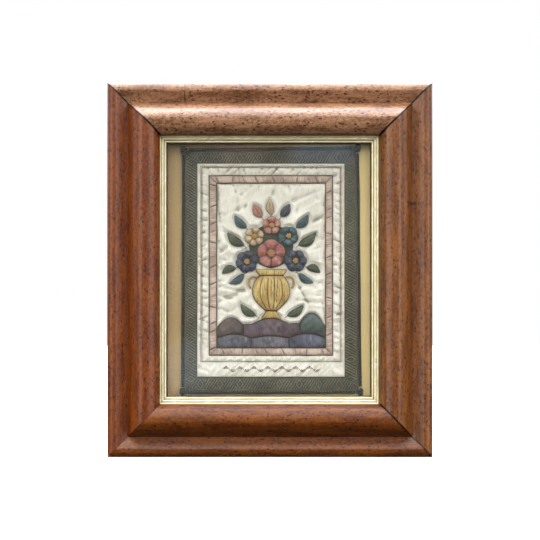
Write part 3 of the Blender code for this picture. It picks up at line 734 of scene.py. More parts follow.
def satin_height(x, z):
    """Height of the quilted satin: a cushion between each two seams, drawn into puffs along it, sunk by
    the creases, and flat under whatever lies on it. The field's puffs run out from the work: they follow
    the angle round its middle. Where they would sink too low they level out as an exponential."""
    field, band, line, edge = (inside(box, x, z) for box in (BAND_INNER, BAND_OUTER, LINE, PANEL))
    round_work = 42.0 * np.arctan2(z - 8.0, x - MIDDLE) + 0.25 * np.hypot(x - MIDDLE, z - 8.0)
    puff = FIELD_PUFF * (0.45 + 0.85 * puffs(round_work, (47.0, 29.0, 20.0), 5)) * ease(field / 7.0)
    for *ends, half, depth in CREASES:
        puff -= CREASE_DEEP * depth * ease(1 - to_segment(x, z, *ends)[0] / half) * ease(field / 6.0)
    puff -= FOLD_DEEP * creased(x, z, FOLDS) * ease(field / 2.5)
    puff -= PUCKER_DEEP * creased(x, z, FIELD_PUCKERS) * ease(field / 1.5)
    puff += 0.3 * ripples(0.4 * x - 0.9 * z, (19.0, 31.0), 6)
    levelled = SOFT_FLOOR * np.exp(np.minimum(puff - SOFT_FLOOR, 0) / SOFT_FLOOR)
    puff = np.where(puff < SOFT_FLOOR, levelled, puff)
    field_high = puff * ease((to_work(x, z) - 0.6) / 3.4) * ease(field / 2.0)
    beside = (x < BAND_OUTER[0]) | (x > BAND_OUTER[1])
    along = np.where(beside, z + 0.35 * x, x - 0.9 * z)
    wave = puffs(along, (25.0, 37.0, 16.0), 8)
    fine = creased(x, z, MARGIN_PUCKERS)
    to_band, to_line, from_line, to_edge = (np.maximum(far, 0) for far in (-band, line, -line, edge))
    margin_high = (MARGIN_PUFF * (0.4 + 0.8 * wave) - MARGIN_DEEP * fine) * crown(to_line, to_band)
    rim_high = (EDGE_PUFF * (0.4 + 0.8 * wave) - RIM_DEEP * fine) * crown(to_edge, from_line)
    outside = np.where(band > -GAP, 0.0, np.where(line > 0, margin_high, rim_high))
    high = np.where(field > 0, field_high, outside)
    return SATIN_FLAT + np.clip(high, 0, SATIN_RISE)


def silk_weave():
    """Silk with its long floats across the piece: fine ridges a thread apart, bent by noise, and thicker
    threads here and there. The tone follows the threads and soft clouds."""
    sockets = {"Vector": "Vector", "Pitch": "Float", "Cloud": "Float"}
    given, out = group("silk_weave", sockets, {"Height": "Float", "Tone": "Float"})
    at = given["Vector"]
    phase = split(at)[0] / given["Pitch"] + noise(at, 300.0, 2.0) * 2.0
    ridge = (phase * (2 * math.pi)).math("SINE")
    slub = noise(drawn(at, 1, 0.06), 1500.0, 2.0)
    tone = (noise(at, 45.0, 4.0) - 0.5) * given["Cloud"] + slub
    feed(out, {"Height": ridge * 0.35 + slub, "Tone": ridge * 0.08 + tone})
    return at.tree


WEAVE = silk_weave()


def silk(name, dark, light, deep, cloud):
    """Plain satin from its darker to its lighter tone, multiplied by a deep tone as painted shade in its
    hollows and at its seams.
    """
    made, tree, shader = surface(name, Roughness=0.36, Sheen_Weight=0.2, Sheen_Roughness=0.4, IOR=1.6)
    weave = use(tree, WEAVE, {"Vector": uv_map(tree), "Pitch": 0.0003, "Cloud": cloud})
    colour = blend(between(weave["Tone"], 0.25, 0.75), dark, light)
    colour = blend(field_of(tree, "shade"), colour, deep, "MULTIPLY")
    finish(shader, colour, weave["Height"], 0.2, 0.00012)
    return made


def skirted(grid, back, rim=1):
    """A grid with one more row and column all round it, dropped to the height of the back."""
    made = {field: np.pad(value, rim, mode="edge") for field, value in grid.items()}
    kept = np.pad(np.ones_like(grid["v"]), rim)
    made["v"] = np.where(kept > 0, made["v"], back)
    return made


def cloth_piece(name, grid, back, material, node_name, rim=1):
    """A piece of cloth whose sides are turned down to its back."""
    return piece(name, [(skirted(grid, back, rim), 0)], [material], [node_name], sharp=80)


def sheet_grid(box, pitch, height, marks):
    """A level grid over a box, with height(x, z) above it, whose lines also pass through the marks."""
    axes = []
    for (low, high), extra in zip((box[:2], box[2:]), marks):
        stops = sorted({low, high, *extra})
        counts = [max(2, round((b - a) / pitch)) for a, b in zip(stops, stops[1:])]
        parts = [np.linspace(a, b, n, endpoint=False) for a, b, n in zip(stops, stops[1:], counts)]
        axes.append(np.concatenate([*parts, [high]]))
    x, z = np.meshgrid(*axes)
    return {"x": x, "z": z, "v": height(x, z), "u": x * MM, "w": z * MM}


def hollows(high, reach):
    """How far each point of a grid of heights lies under the mean of those up to a reach of steps away."""
    rows, columns = high.shape
    wide = np.pad(high, reach, mode="edge")
    steps = range(2 * reach + 1)
    mean = sum(wide[a : a + rows, b : b + columns] for a in steps for b in steps) / len(steps) ** 2
    return mean - high


marks = [[edge for box in (LINE, BAND_OUTER, BAND_INNER) for edge in box[k : k + 2]] for k in (0, 2)]
cloth = sheet_grid(PANEL, 0.8, satin_height, marks)
# Painted shade along the seams, and in the bottoms of the creases away from the work
seams = [np.abs(inside(box, cloth["x"], cloth["z"])) for box in (LINE, BAND_OUTER, BAND_INNER)]
sunk = sum(ease(hollows(cloth["v"], reach) / deep) for reach, deep in ((3, 0.55), (8, 1.1)))
clear = ease(to_work(cloth["x"], cloth["z"]) / 7.0)
cloth["shade"] = 0.3 * np.exp(-np.minimum.reduce(seams) / 0.8) + 0.4 * clear * sunk
IVORY = silk("ivory_satin", "#DCDBD0", "#F5F5EC", "#7C7464", 1.0)
satin = cloth_piece("quilted_satin", cloth, CLOTH_BACK, IVORY, "satin_panel")

# Stitching on the satin
# Couched silk threads: a dark brown one along either edge of the pink band, two fine rose-brown ones
# round the margin, and a running vine in brown along the foot of the panel.


def resampled(points, pitch):
    """A line of points taken again at even steps of about the pitch."""
    length = length_along(points)
    at = np.linspace(0, length[-1], max(3, round(length[-1] / pitch) + 1))
    return np.stack([np.interp(at, length, column) for column in points.T], axis=1)


def across_of(path, closed=False):
    """Two directions across a path of (x, z, v) rows: one level with the picture, and one at right
    angles to it and to the path."""
    if closed:
        ahead = np.roll(path, -1, axis=0) - np.roll(path, 1, axis=0)
    else:
        ahead = np.gradient(path, axis=0)
    level = np.cross(ahead, (0.0, 0.0, 1.0))
    level /= np.linalg.norm(level, axis=1)[:, None]
    lift = np.cross(level, ahead)
    return level, lift / np.linalg.norm(lift, axis=1)[:, None]


def tube(path, radius, around=8, closed=False):
    """A round thread: a circle of the radius round each point of a path, and closed ends."""
    rows = (path, *across_of(path, closed))
    if closed:
        path, level, lift = (np.concatenate([row, row[:1]]) for row in rows)
    else:
        path, level, lift = (np.concatenate([row[:1], row, row[-1:]]) for row in rows)
    radii = np.full((len(path), 1, 1), radius)
    if not closed:
        radii[[0, -1]] = 0
    angle = np.linspace(0, 2 * np.pi, around + 1)[None, :, None]
    ring = path[:, None] + radii * (np.cos(angle) * level[:, None] + np.sin(angle) * lift[:, None])
    length = length_along(path)[:, None]
    round_way = radius * angle[:, :, 0]
    return {
        "x": ring[..., 0],
        "z": ring[..., 1],
        "v": ring[..., 2],
        "u": (length + 0 * round_way) * MM,
        "w": (round_way + 0 * length) * MM,
    }


def box_line(box, wander, seed):
    """The outline of a box as a line of points, which wanders a little in and out."""
    left, right, bottom, top = box
    corner = np.array([(left, bottom), (right, bottom), (right, top), (left, top), (left, bottom)])
    low, high = corner[0], corner[2]
    line = resampled(corner, 0.8)[:-1]
    at = np.linspace(0, 2 * (right - left + top - bottom), len(line))
    aside = wander * ripples(at, (37.0, 53.0, 21.0), seed)[:, None]
    on_side = np.isclose(np.abs(line - 0.5 * (low + high)), 0.5 * (high - low))
    return line + aside * np.sign(line) * on_side


def thread_silk(name, dark, light, pitch=0.0007):
    """Twisted silk thread: slanted plies that run round it, lighter on their crests."""
    made, tree, shader = surface(name, Roughness=0.5, Sheen_Weight=0.3, Sheen_Roughness=0.4)
    uv = uv_map(tree)
    u, w, _ = split(uv)
    tone = ((u + w) / pitch * (2 * math.pi)).math("SINE") * 0.3 + noise(uv, 2500.0, 2.0)
    finish(shader, blend(between(tone, 0.2, 0.8), dark, light), tone, 0.4, 0.0002)
    return made


def threads(name, paths, radius, material, around=6, closed=False):
    """Several threads as one piece."""
    grids = [(tube(path, radius, around, closed), 0) for path in paths]
    return piece(name, grids, [material], merge=0.002)


DARK_THREAD = thread_silk("dark_thread", "#1E1815", "#453A33")
BROWN_THREAD = thread_silk("brown_thread", "#4E3A2E", "#7A6250")
ROSE_THREAD = thread_silk("rose_thread", "#7C5F55", "#A68A7C")


def level_path(x, z, height):
    """A path at one height."""
    return np.column_stack([x, z, np.full(len(x), height)])


band_lines = [
    level_path(*box_line(box, 0.18, seed).T, SATIN_FLAT + lift)
    for box, lift, seed in ((BAND_OUTER, 0.75, 1), (BAND_INNER, 0.85, 2))
]
threads("band_outline", band_lines, 0.6, DARK_THREAD, 8, True)
outer_line = tuple(edge + step for edge, step in zip(LINE, (-1.7, 1.7, -0.2, 1.7)))
margin_lines = [box_line(box, 0.15, seed) for box, seed in ((LINE, 3), (outer_line, 4))]
margin_lines = [np.column_stack([line, satin_height(*line.T) + 0.2]) for line in margin_lines]
threads("margin_lines", margin_lines, 0.32, ROSE_THREAD, 6, True)

# The vine: left, right, height up the picture, rise and number of its waves. Each half wave has two
# looped leaves
VINE = (-57.0, 61.0, -119.8, 3.0, 7)
start, end, level, rise, waves = VINE
share = np.linspace(0, 1, 240)
vine = [np.stack([start + (end - start) * share, level + rise * np.sin(2 * np.pi * waves * share)], axis=1)]
turn = np.linspace(0, 2 * np.pi, 28)[:-1]
for k in range(2 * waves):
    way = 1 if k % 2 else -1
    foot = np.array([start + (end - start) * (k + 0.5) / (2 * waves), level - way * rise])
    for tilt in (0.9, 2.2):
        out = np.array([math.cos(tilt), way * math.sin(tilt)])
        side = np.array([-out[1], out[0]])
        far, aside = 1.9 * (1 - np.cos(turn)), 0.75 * np.sin(turn) * (1 + np.cos(turn))
        vine.append(foot + far[:, None] * out + aside[:, None] * side)
vine = [resampled(line, 0.5) for line in vine]
vine = [np.column_stack([line, satin_height(*line.T) + 0.15]) for line in vine]
threads("vine_stitching", vine, 0.26, BROWN_THREAD)

# Dark ribbon
# A figured ribbon in dark olive binds the panel, in four strips mitred at the corners. Its pattern of
# slanted lines and nested lozenges stands up a little, and a pale line runs along either edge.
RIBBON_OUTER = {
    "top_left": (-102.3, 144.1),
    "top_right": (104.7, 146.2),
    "bottom_left": (-103.5, -146.0),
    "bottom_right": (107.9, -146.0),
}
RIBBON_EDGE = 1.3
RIBBON_CROWN = 0.7
PATTERN_LONG = 24.0
PATTERN_STEP = PATTERN_LONG / 7
PATTERN_DEEP = 0.3
RIBBON_MIDDLE = 7.8


def corners(box):
    """Corners of a left, right, bottom, top box by name."""
    left, right, bottom, top = box
    return {
        "top_left": (left, top),
        "top_right": (right, top),
        "bottom_left": (left, bottom),
        "bottom_right": (right, bottom),
    }


def strip_grid(side, outer, inner, pitch, rise, back):
    """A mitred strip between two sets of corners. rise(distance along, distance in, share across) is its
    height over the back."""
    points = [np.array(rows[key]) for rows in (outer, inner) for key in ENDS[side]]
    outer_a, outer_b, inner_a, inner_b = points
    length = np.linalg.norm(outer_b - outer_a)
    width = np.abs((inner_a - outer_a) @ np.array(SIDES[side][1]))
    trim = 0.3 * GAP / length
    s = np.linspace(trim, 1 - trim, round(length / pitch))[:, None, None]
    t = np.linspace(0, 1, max(8, round(width / pitch)))[None, :, None]
    point = (outer_a + (outer_b - outer_a) * s) * (1 - t) + (inner_a + (inner_b - inner_a) * s) * t
    along = point @ np.array(SIDES[side][0])
    share = t[..., 0] + 0 * s[..., 0]
    deep = width * share
    return {
        "x": point[..., 0],
        "z": point[..., 1],
        "v": back + rise(along, deep, share),
        "u": along * MM,
        "w": deep * MM,
        "share": share,
        "ends": np.minimum(s[..., 0], 1 - s[..., 0]) * length + 0 * share,
    }


def ribbon_figure(along, deep):
    """The ribbon's figure from 0 to 1: cosine lines a step apart that slant one way, and for nearly half
    of each repeat lozenges, where the cosine runs with the distance along and across from their middle."""
    across = deep - RIBBON_MIDDLE
    at = np.mod(along, PATTERN_LONG) - 0.5 * PATTERN_LONG
    slant = 0.5 + 0.5 * np.cos(2 * np.pi * (at + 0.62 * across) / PATTERN_STEP)
    lozenge = 0.5 + 0.5 * np.cos(2 * np.pi * (np.abs(at) + 0.62 * np.abs(across)) / PATTERN_STEP)
    in_lozenge = np.abs(at) + 0.3 * np.abs(across) < 5.6
    figure = np.where(in_lozenge, lozenge, slant)
    return ease((figure - 0.5) / 0.4) * ease((6.0 - np.abs(across)) / 0.5)


def edge_lines(deep):
    """Two raised lines, 1.1 and 14.4 mm in from the ribbon's outer edge, each rounded as a bell."""
    return np.exp(-(((deep - 1.1) / 0.45) ** 2)) + 0.8 * np.exp(-(((deep - 14.4) / 0.4) ** 2))


def ribbon_rise(along, deep, share):
    """A shallow crown across the ribbon, with its figure and its edge lines on top."""
    slack = 0.12 * ripples(along + 2 * deep, (31.0, 47.0, 19.0), 9)
    crowned = RIBBON_CROWN * (1 - (2 * share - 1) ** 2)
    figure = PATTERN_DEEP * (ribbon_figure(along, deep) + edge_lines(deep))
    return RIBBON_EDGE + (crowned + slack) * ease(share / 0.1) * ease((1 - share) / 0.1) + figure


def figured_ribbon():
    """Ribbed silk and cotton: dark olive ground, paler figure, a fine rib across, and grey dust."""
    made, tree, shader = surface("figured_ribbon", Roughness=0.6, Sheen_Weight=0.35, Sheen_Roughness=0.45)
    uv = uv_map(tree)
    weave = use(tree, WEAVE, {"Vector": uv, "Pitch": 0.0006, "Cloud": 1.2})
    tone = between(weave["Tone"], 0.2, 0.8)
    raised = blend(tone, "#7C785A", "#B5AF8A")
    colour = blend(field_of(tree, "figure") * 0.5, blend(tone, "#14170F", "#303328"), raised)
    colour = blend(between(noise(uv, 70.0, 5.0, 0.7), 0.5, 0.8, 0.0, 0.3), colour, "#77787A")
    colour = blend(between(field_of(tree, "ends"), 1.0, 0.3), colour, "#0E0F0C")
    finish(shader, colour, weave["Height"], 0.4, 0.0003)
    return made


RIBBON = figured_ribbon()
ribbon_inner = corners((PANEL[0] - GAP, PANEL[1] + GAP, PANEL[2] - GAP, PANEL[3] + GAP))
for side in SIDES:
    grid = strip_grid(side, RIBBON_OUTER, ribbon_inner, 0.5, ribbon_rise, CLOTH_BACK)
    grid["figure"] = ribbon_figure(grid["u"] / MM, grid["w"] / MM) + edge_lines(grid["w"] / MM)
    strip = cloth_piece(f"ribbon_strip_{side}", grid, CLOTH_BACK, RIBBON, f"ribbon_{side}")
    long, wide = np.ptp(grid["u"]), np.ptp(grid["w"])

# Black edging and its knots
# Twisted black cord of two strands is couched along the ribbon's outer edge, and at each corner it is
# tied in a knot that is sewn down on the ribbon.
EDGING_THICK = 4.0
KNOT_RADIUS = 5.2
KNOT_THICK = 4.2
KNOT_LUMP = 0.1
KNOT_OUT = 1.2
EDGING_OUT = 0.5 * EDGING_THICK + GAP
EDGING_HEIGHT = CLOTH_BACK + 0.5 * EDGING_THICK
EDGING_END = KNOT_RADIUS * (1 + KNOT_LUMP) + GAP - KNOT_OUT
EDGING_WAVE = 0.25
EDGING_PITCH = 6.6
BLACK_CORD = thread_silk("black_cord", "#0B0E0C", "#222723", 0.0011)


def twisted(path, radius, pitch):
    """Two strands of about half the radius, whose middles go round the path once a pitch."""
    level, lift = across_of(path)
    length = length_along(path)
    grids = []
    for start in (0.0, np.pi):
        angle = (2 * np.pi * length / pitch + start)[:, None]
        aside = np.cos(angle) * level + np.sin(angle) * lift
        grids.append((tube(path + 0.5 * radius * aside, 0.52 * radius), 0))
    return grids


for side, (start, end) in ENDS.items():
    a, b = np.array(RIBBON_OUTER[start]), np.array(RIBBON_OUTER[end])
    trim = (b - a) / np.linalg.norm(b - a) * EDGING_END
    share = np.linspace(0, 1, round(np.linalg.norm(b - a) / 0.55))[:, None]
    drift = EDGING_OUT - GAP + EDGING_WAVE * np.sin(2.5 * np.pi * share) ** 2
    line = a + trim + (b - a - 2 * trim) * share + drift * np.array(SIDES[side][1])
    path = level_path(*line.T, EDGING_HEIGHT)
    grids = twisted(path, 0.5 * EDGING_THICK, EDGING_PITCH)
    piece(f"black_edging_{side}", grids, [BLACK_CORD], [f"edging_{side}"])

KNOT_HEIGHT = CLOTH_BACK + RIBBON_EDGE + RIBBON_CROWN + GAP + 0.5 * KNOT_THICK
KNOT_CORD = 1.25
for k, (corner, (x, z)) in enumerate(RIBBON_OUTER.items()):
    # A trefoil: it goes twice round the middle while its distance from it swings three times
    turn = np.linspace(0, 2 * np.pi, 140, endpoint=False)
    reach = (KNOT_RADIUS - KNOT_CORD) * (0.69 + 0.31 * np.cos(3 * turn))
    path = np.stack([
        x + math.copysign(KNOT_OUT, x) + reach * np.cos(2 * turn + k),
        z + math.copysign(KNOT_OUT, z) + reach * np.sin(2 * turn + k),
        KNOT_HEIGHT + (0.5 * KNOT_THICK - KNOT_CORD) * np.sin(3 * turn),
    ], axis=1)
    knot = tube(path, KNOT_CORD, 10, True)
    piece(f"cord_knot_{corner}", [(knot, 0)], [BLACK_CORD], [f"knot_{corner}"])

# Pink satin band
# Four lengths of faded pink satin, lightly padded and mitred, between the two dark threads. They are
# caught down into uneven pleats.
BAND_EDGE = 0.7
BAND_CROWN = 1.1
BAND_PUFF = 0.35
BAND_PLEAT = 21.0
# Where the pleats cross the band
PLEATS = np.cumsum(np.random.default_rng(31).uniform(4.5, 13.0, 60)) - 260.0


def band_rise(along, deep, share):
    """The band's crown, which swells and sinks along it, with narrow slanted pleats across it."""
    crease = np.cos(2 * np.pi * along / BAND_PLEAT + 1.5 * np.sin(along / 17.0))
    pleats = np.zeros_like(along)
    for k, at in enumerate(PLEATS):
        away = along - at - (0.5 * deep - 2.0) * (0.9 if k % 4 else -0.4)
        strong = 0.5 + 0.5 * np.sin(2.4 * k)
        hollow, ridge = np.exp(-((away / 0.9) ** 2)), np.exp(-(((away - 2.0) / 1.3) ** 2))
        pleats += strong * (1.3 * hollow - 0.8 * ridge)
    return BAND_EDGE + (BAND_CROWN + BAND_PUFF * crease - pleats) * (1 - (2 * share - 1) ** 2) ** 0.8


PINK = silk("pink_satin", "#A0897B", "#D3C0B1", "#6A4E42", 1.8)
band_out = corners((BAND_OUTER[0] + GAP, BAND_OUTER[1] - GAP, BAND_OUTER[2] + GAP, BAND_OUTER[3] - GAP))
for side in SIDES:
    grid = strip_grid(side, band_out, corners(BAND_INNER), 0.7, band_rise, WORK_BACK)
    # Painted shade along both edges of the band and in the hollows of its pleats, and a dark line at each
    # mitre
    grid["shade"] = 0.5 * np.exp(-np.minimum(grid["share"], 1 - grid["share"]) / 0.12)
    grid["shade"] = np.maximum(grid["shade"], np.exp(-grid["ends"] / 0.8))
    grid["shade"] = np.maximum(grid["shade"], 0.85 * ease(hollows(grid["v"], 3) / 0.5))
    band = cloth_piece(f"pink_strip_{side}", grid, WORK_BACK, PINK, f"pink_band_{side}")

# Padded hills
# Six pieces of dull silk over wadding, in two rows along the foot of the field, each drawn into soft
# lumps. A dark couched thread runs along their tops and between them.
PAD_EDGE = 0.8
# How high over its back a thread runs round a padded piece
OUTLINE_LIFT = 0.6


def painted_silk(name, dark, light, stroke, slant=0.6, pitch=0.004, amount=0.5):
    """Silk shaded with long dry brush strokes of a second colour, which run one way and break up."""
    made, tree, shader = surface(name, Roughness=0.46, Sheen_Weight=0.25, Sheen_Roughness=0.4)
    uv = uv_map(tree)
    weave = use(tree, WEAVE, {"Vector": uv, "Pitch": 0.0004, "Cloud": 1.8})
    lines = noise(drawn(uv, 1, 0.14, turn=slant), 1 / pitch, 3.0, 0.6)
    strokes = between(lines, 0.52, 0.68, 0.0, amount) * between(noise(uv, 110.0, 3.0), 0.4, 0.6)
    colour = blend(strokes, blend(between(weave["Tone"], 0.2, 0.8), dark, light), stroke)
    colour = blend(field_of(tree, "shade"), colour, dark, "MULTIPLY")
    finish(shader, colour, weave["Height"], 0.25, 0.00015)
    return made


HILL_SILKS = {
    "hill_front_left": painted_silk("slate_silk", "#3F3F4A", "#696872", "#A5A2A9"),
    "hill_front_middle": painted_silk("grey_silk", "#4A4A54", "#73717C", "#B0ADB2"),
    "hill_front_right": painted_silk("blue_silk", "#3E4051", "#66697B", "#9C9EAC"),
    "hill_back_left": painted_silk("brown_silk", "#403635", "#645751", "#8A7B72"),
    "hill_back_middle": painted_silk("mauve_silk", "#463840", "#6C5B65", "#938189"),
    "hill_back_right": painted_silk("green_silk", "#344240", "#576261", "#437266", 0.5, 0.003, 0.8),
}


def pad_grid(x, z, high, **fields):
    """A padded piece's grid: x from the middle of the field, z, the height over the piece's edge, and
    other fields. Its UV map is its place, until it is given another."""
    return {"x": MIDDLE + x, "z": z, "v": WORK_BACK + PAD_EDGE + high, "u": x * MM, "w": z * MM, **fields}


def pad_shares(rows, columns):
    """Two grids of shares from 0 to 1: down the columns, and along the rows."""
    t, s = np.meshgrid(np.linspace(0, 1, rows), np.linspace(0, 1, columns), indexing="ij")
    return s, t


outlines = []
for seed, (name, left, right, side, crest, rise, slot) in enumerate(FRONT_HILLS + BACK_HILLS):
    s, t = pad_shares(26, round((right - left) * 1.1))
    x = left + (right - left) * s
    foot = HILL_FOOT if seed < len(FRONT_HILLS) else back_foot(x)
    z = foot + (side + (crest - side) * np.sin(np.pi * s)) * t
    pad = (4 * t * (1 - t)) ** 0.6 * np.clip(np.sin(np.pi * s), 0, None) ** 0.5
    lumps = 0.3 * ripples(x + 0.8 * z, (13.0, 19.0, 9.0), seed)
    lumps += 0.25 * ripples(x - 1.3 * z, (11.0, 17.0), seed + 50)
    grid = pad_grid(x, z, (rise + lumps) * pad, shade=0.75 * (1 - pad) ** 2)
    hill = cloth_piece(f"padded_{name}", grid, WORK_BACK, HILL_SILKS[name], name)
    outlines.append(level_path(grid["x"][-1], z[-1] + 0.2, WORK_BACK + OUTLINE_LIFT))
    if seed % len(FRONT_HILLS):
        outlines.append(level_path(grid["x"][:, 0] - 0.3, z[:, 0], WORK_BACK + OUTLINE_LIFT))
threads("hill_outlines", [resampled(line, 0.8) for line in outlines], 0.5, DARK_THREAD, 7)

# Padded urn
# Yellow silk with brown stripes over wadding: a foot, a bowl in five flutes and a lip, each outlined with
# a dark thread, and two handles of gold cord.
URN_FLUTES = 5
URN_CROWN = 3.4
FLUTE_CROWN = 0.6
URN_TRIM_CROWN = 2.0


def striped_silk():
    """Yellow silk with soft brown stripes down it, flecked, and with painted shade at its edges and between
    its flutes.
    """
    made, tree, shader = surface("striped_silk", Roughness=0.42, Sheen_Weight=0.25, Sheen_Roughness=0.4)
    uv = uv_map(tree)
    weave = use(tree, WEAVE, {"Vector": uv, "Pitch": 0.0004, "Cloud": 1.6})
    stripe = noise(drawn(uv, 1, 0.05), 420.0, 3.0, 0.6)
    brown = noise(drawn(uv, 1, 0.4), 700.0, 3.0) * 0.4 + stripe - 0.2
    colour = blend(between(weave["Tone"], 0.2, 0.8), "#A98A48", "#E2CB85")
    colour = blend(between(brown, 0.52, 0.66, 0.0, 0.8), colour, "#6E4F22")
    colour = blend(field_of(tree, "shade"), colour, "#8A6A34", "MULTIPLY")
    finish(shader, colour, weave["Height"], 0.25, 0.00015)
    return made


STRIPED = striped_silk()
GOLD_CORD = thread_silk("gold_cord", "#8A6A34", "#CBAE6A", 0.0009)
outlines = []
for name, rows, rise, flutes, fill in (
    ("urn_foot", URN_FOOT, URN_TRIM_CROWN, 0, 0.5),
    ("urn_bowl", URN_BOWL, URN_CROWN, URN_FLUTES, 0.7),
    ("urn_lip", URN_LIP, URN_TRIM_CROWN, 0, 0.5),
):
    s, t = pad_shares(40 if flutes else 18, 90 if flutes else 50)
    low, high = rows[0][0], rows[-1][0]
    z = low + (high - low) * t
    smooth = rounded(np.array(rows), 2)
    x = (2 * s - 1) * np.interp(z, *smooth.T)
    pad = rise * (1 - (2 * s - 1) ** 2) ** 0.6 * (4 * t * (1 - t)) ** 0.35
    flute = np.abs(np.sin(np.pi * s * flutes)) ** 0.6 * np.sin(np.pi * t)
    pad = pad + 1.5 * FLUTE_CROWN * flute + 0.15 * ripples(x - 0.2 * z, (3.7, 5.3), 3) * pad / rise
    if name == "urn_foot":
        z = z + (back_top(x) + HILL_GAP - low) * (1 - t)
    shade = 0.8 * np.exp(-pad / (0.25 * rise)) + (0.5 * (1 - flute) ** 3 if flutes else 0)
    grid = pad_grid(x, z, pad, shade=shade)
    urn = cloth_piece(f"padded_{name}", grid, WORK_BACK, STRIPED, name)
    rim = [np.concatenate([a[:, 0], a[-1], a[::-1, -1], a[0, ::-1]]) for a in (grid["x"], z)]
    outlines.append(level_path(*rim, WORK_BACK + OUTLINE_LIFT))
    # A thread lies in each hollow between two flutes
    for k in range(1, flutes):
        column = round(k * (x.shape[1] - 1) / flutes)
        outlines.append(np.stack([grid[field][3:-3, column] for field in "xzv"], axis=1) + (0, 0, 0.1))
threads("urn_outlines", [resampled(line, 0.8) for line in outlines], 0.42, DARK_THREAD, 7)
for side, way in (("left", -1), ("right", 1)):
    line = rounded(np.array([(MIDDLE + way * x, z) for x, z in HANDLE]), 3)
    path = level_path(*resampled(line, 0.6).T, WORK_BACK + HANDLE_HALF)
    grids = twisted(path, HANDLE_HALF, 5.5)
    piece(f"corded_handle_{side}", grids, [GOLD_CORD], [f"urn_handle_{side}"])

# Leaves, buds and flowers
# Small padded pieces of silk with dark outlines. Green threads make the stems and veins, the flowers lie
# on a round green patch, and each has a heart of gold French knots.
LEAF_CROWN = 2.2
LEAF_RIB = 0.5
PATCH_THICK = 0.7
PATCH_SCALLOP = 0.03
PETAL_NOTCH = 0.14
PETAL_FURROW = 0.35
# A round piece is turned down at its last row only
RIM_ONLY = ((0, 1), (0, 0))
# Section of a blossom from its middle to its rim: share of the radius, share of the crown, slope
BLOSSOM_SECTION = (
    (0, 1, 0),
    (0.2, 0.85, -1.6),
    (0.32, 0.4, 0),
    (0.6, 0.95, 0.4),
    (0.85, 0.7, -2.2),
    (1, 0, -6),
)
SILKS = {
    "silk_leaf": painted_silk("leaf_silk", "#2C3A2C", "#5D6B4C", "#8C9468", 0.3, 0.003, 0.5),
    "silk_teal": painted_silk("teal_silk", "#26434A", "#507380", "#8FB0B5", 0.3, 0.003, 0.6),
    "silk_coral": painted_silk("coral_silk", "#A0685A", "#D2A08C", "#E6C6B4", 0.3, 0.003, 0.6),
    "silk_navy": painted_silk("navy_silk", "#232B3C", "#465068", "#8088A0", 0.3, 0.003, 0.6),
    "silk_cream": painted_silk("cream_silk", "#A89070", "#DCC8A6", "#EEE2CC", 0.3, 0.003, 0.6),
    "silk_rose": painted_silk("rose_silk", "#93544E", "#C28A80", "#E0B8AC", 0.3, 0.003, 0.6),
}
GREEN_THREAD = thread_silk("green_thread", "#2A3524", "#56634A")
GOLD_THREAD = thread_silk("gold_thread", "#8C6A2C", "#D4B262")
outlines, stems = [], []
for name, foot_x, foot_z, tip_x, tip_z, half, bend, slot in LEAVES:
    foot, tip = np.array([foot_x, foot_z]), np.array([tip_x, tip_z])
    ahead = (tip - foot) / np.linalg.norm(tip - foot)
    s, t = pad_shares(21, 44)
    wide = np.clip(np.sin(np.pi * s**0.85), 0, None)
    share = 2 * t - 1
    out = share * half * wide**0.8
    point, aside = leaf_line(foot, tip, bend, s)
    point = point + aside * out[..., None]
    veins = 0.32 * np.sin(2 * np.pi * (7 * s - 1.6 * np.abs(share))) * np.abs(share) * (1 - np.abs(share))
    rib = LEAF_RIB * np.exp(-((share / 0.12) ** 2))
    pad = np.clip((LEAF_CROWN * (1 - share**2) ** 0.7 - rib + veins) * wide**0.6, 0, None)
    grid = pad_grid(*np.moveaxis(point, -1, 0), pad, shade=0.8 * np.abs(share) ** 3 * (1 - 0.2 * s))
    grid.update(u=out * MM, w=s * np.linalg.norm(tip - foot) * MM)
    leaf = cloth_piece(f"padded_{name}", grid, WORK_BACK, SILKS[slot], name)
    rim = [np.concatenate([a[0], a[-1, ::-1]]) for a in (grid["x"], grid["z"])]
    outlines.append(level_path(*rim, WORK_BACK + 0.5))
    middle = np.stack([grid[field][10, :36] for field in "xzv"], axis=1) + (0, 0, 0.15)
    root = middle[0, :2] - ahead * np.linspace(4.5, 0.5, 6)[:, None]
    root = np.column_stack([root, satin_height(*root.T) + 0.5])
    stems.append(np.concatenate([root, middle]))
threads("leaf_outlines", [resampled(line, 0.7) for line in outlines], 0.38, DARK_THREAD)
threads("leaf_stems", [resampled(line, 0.7) for line in stems], 0.42, GREEN_THREAD)

s, t = pad_shares(12, 97)
reach = PATCH[2] * t * (1 - PATCH_SCALLOP * t * np.abs(np.sin(8 * np.pi * s)))
x, z = PATCH[0] + reach * np.cos(2 * np.pi * s), PATCH[1] + reach * np.sin(2 * np.pi * s)
grid = pad_grid(x, z, PATCH_THICK - PAD_EDGE + 0 * x, u=(MIDDLE + x) * MM, shade=0.5 + 0 * x)
patch = cloth_piece("green_patch", grid, WORK_BACK, SILKS["silk_leaf"], "flower_patch", RIM_ONLY)

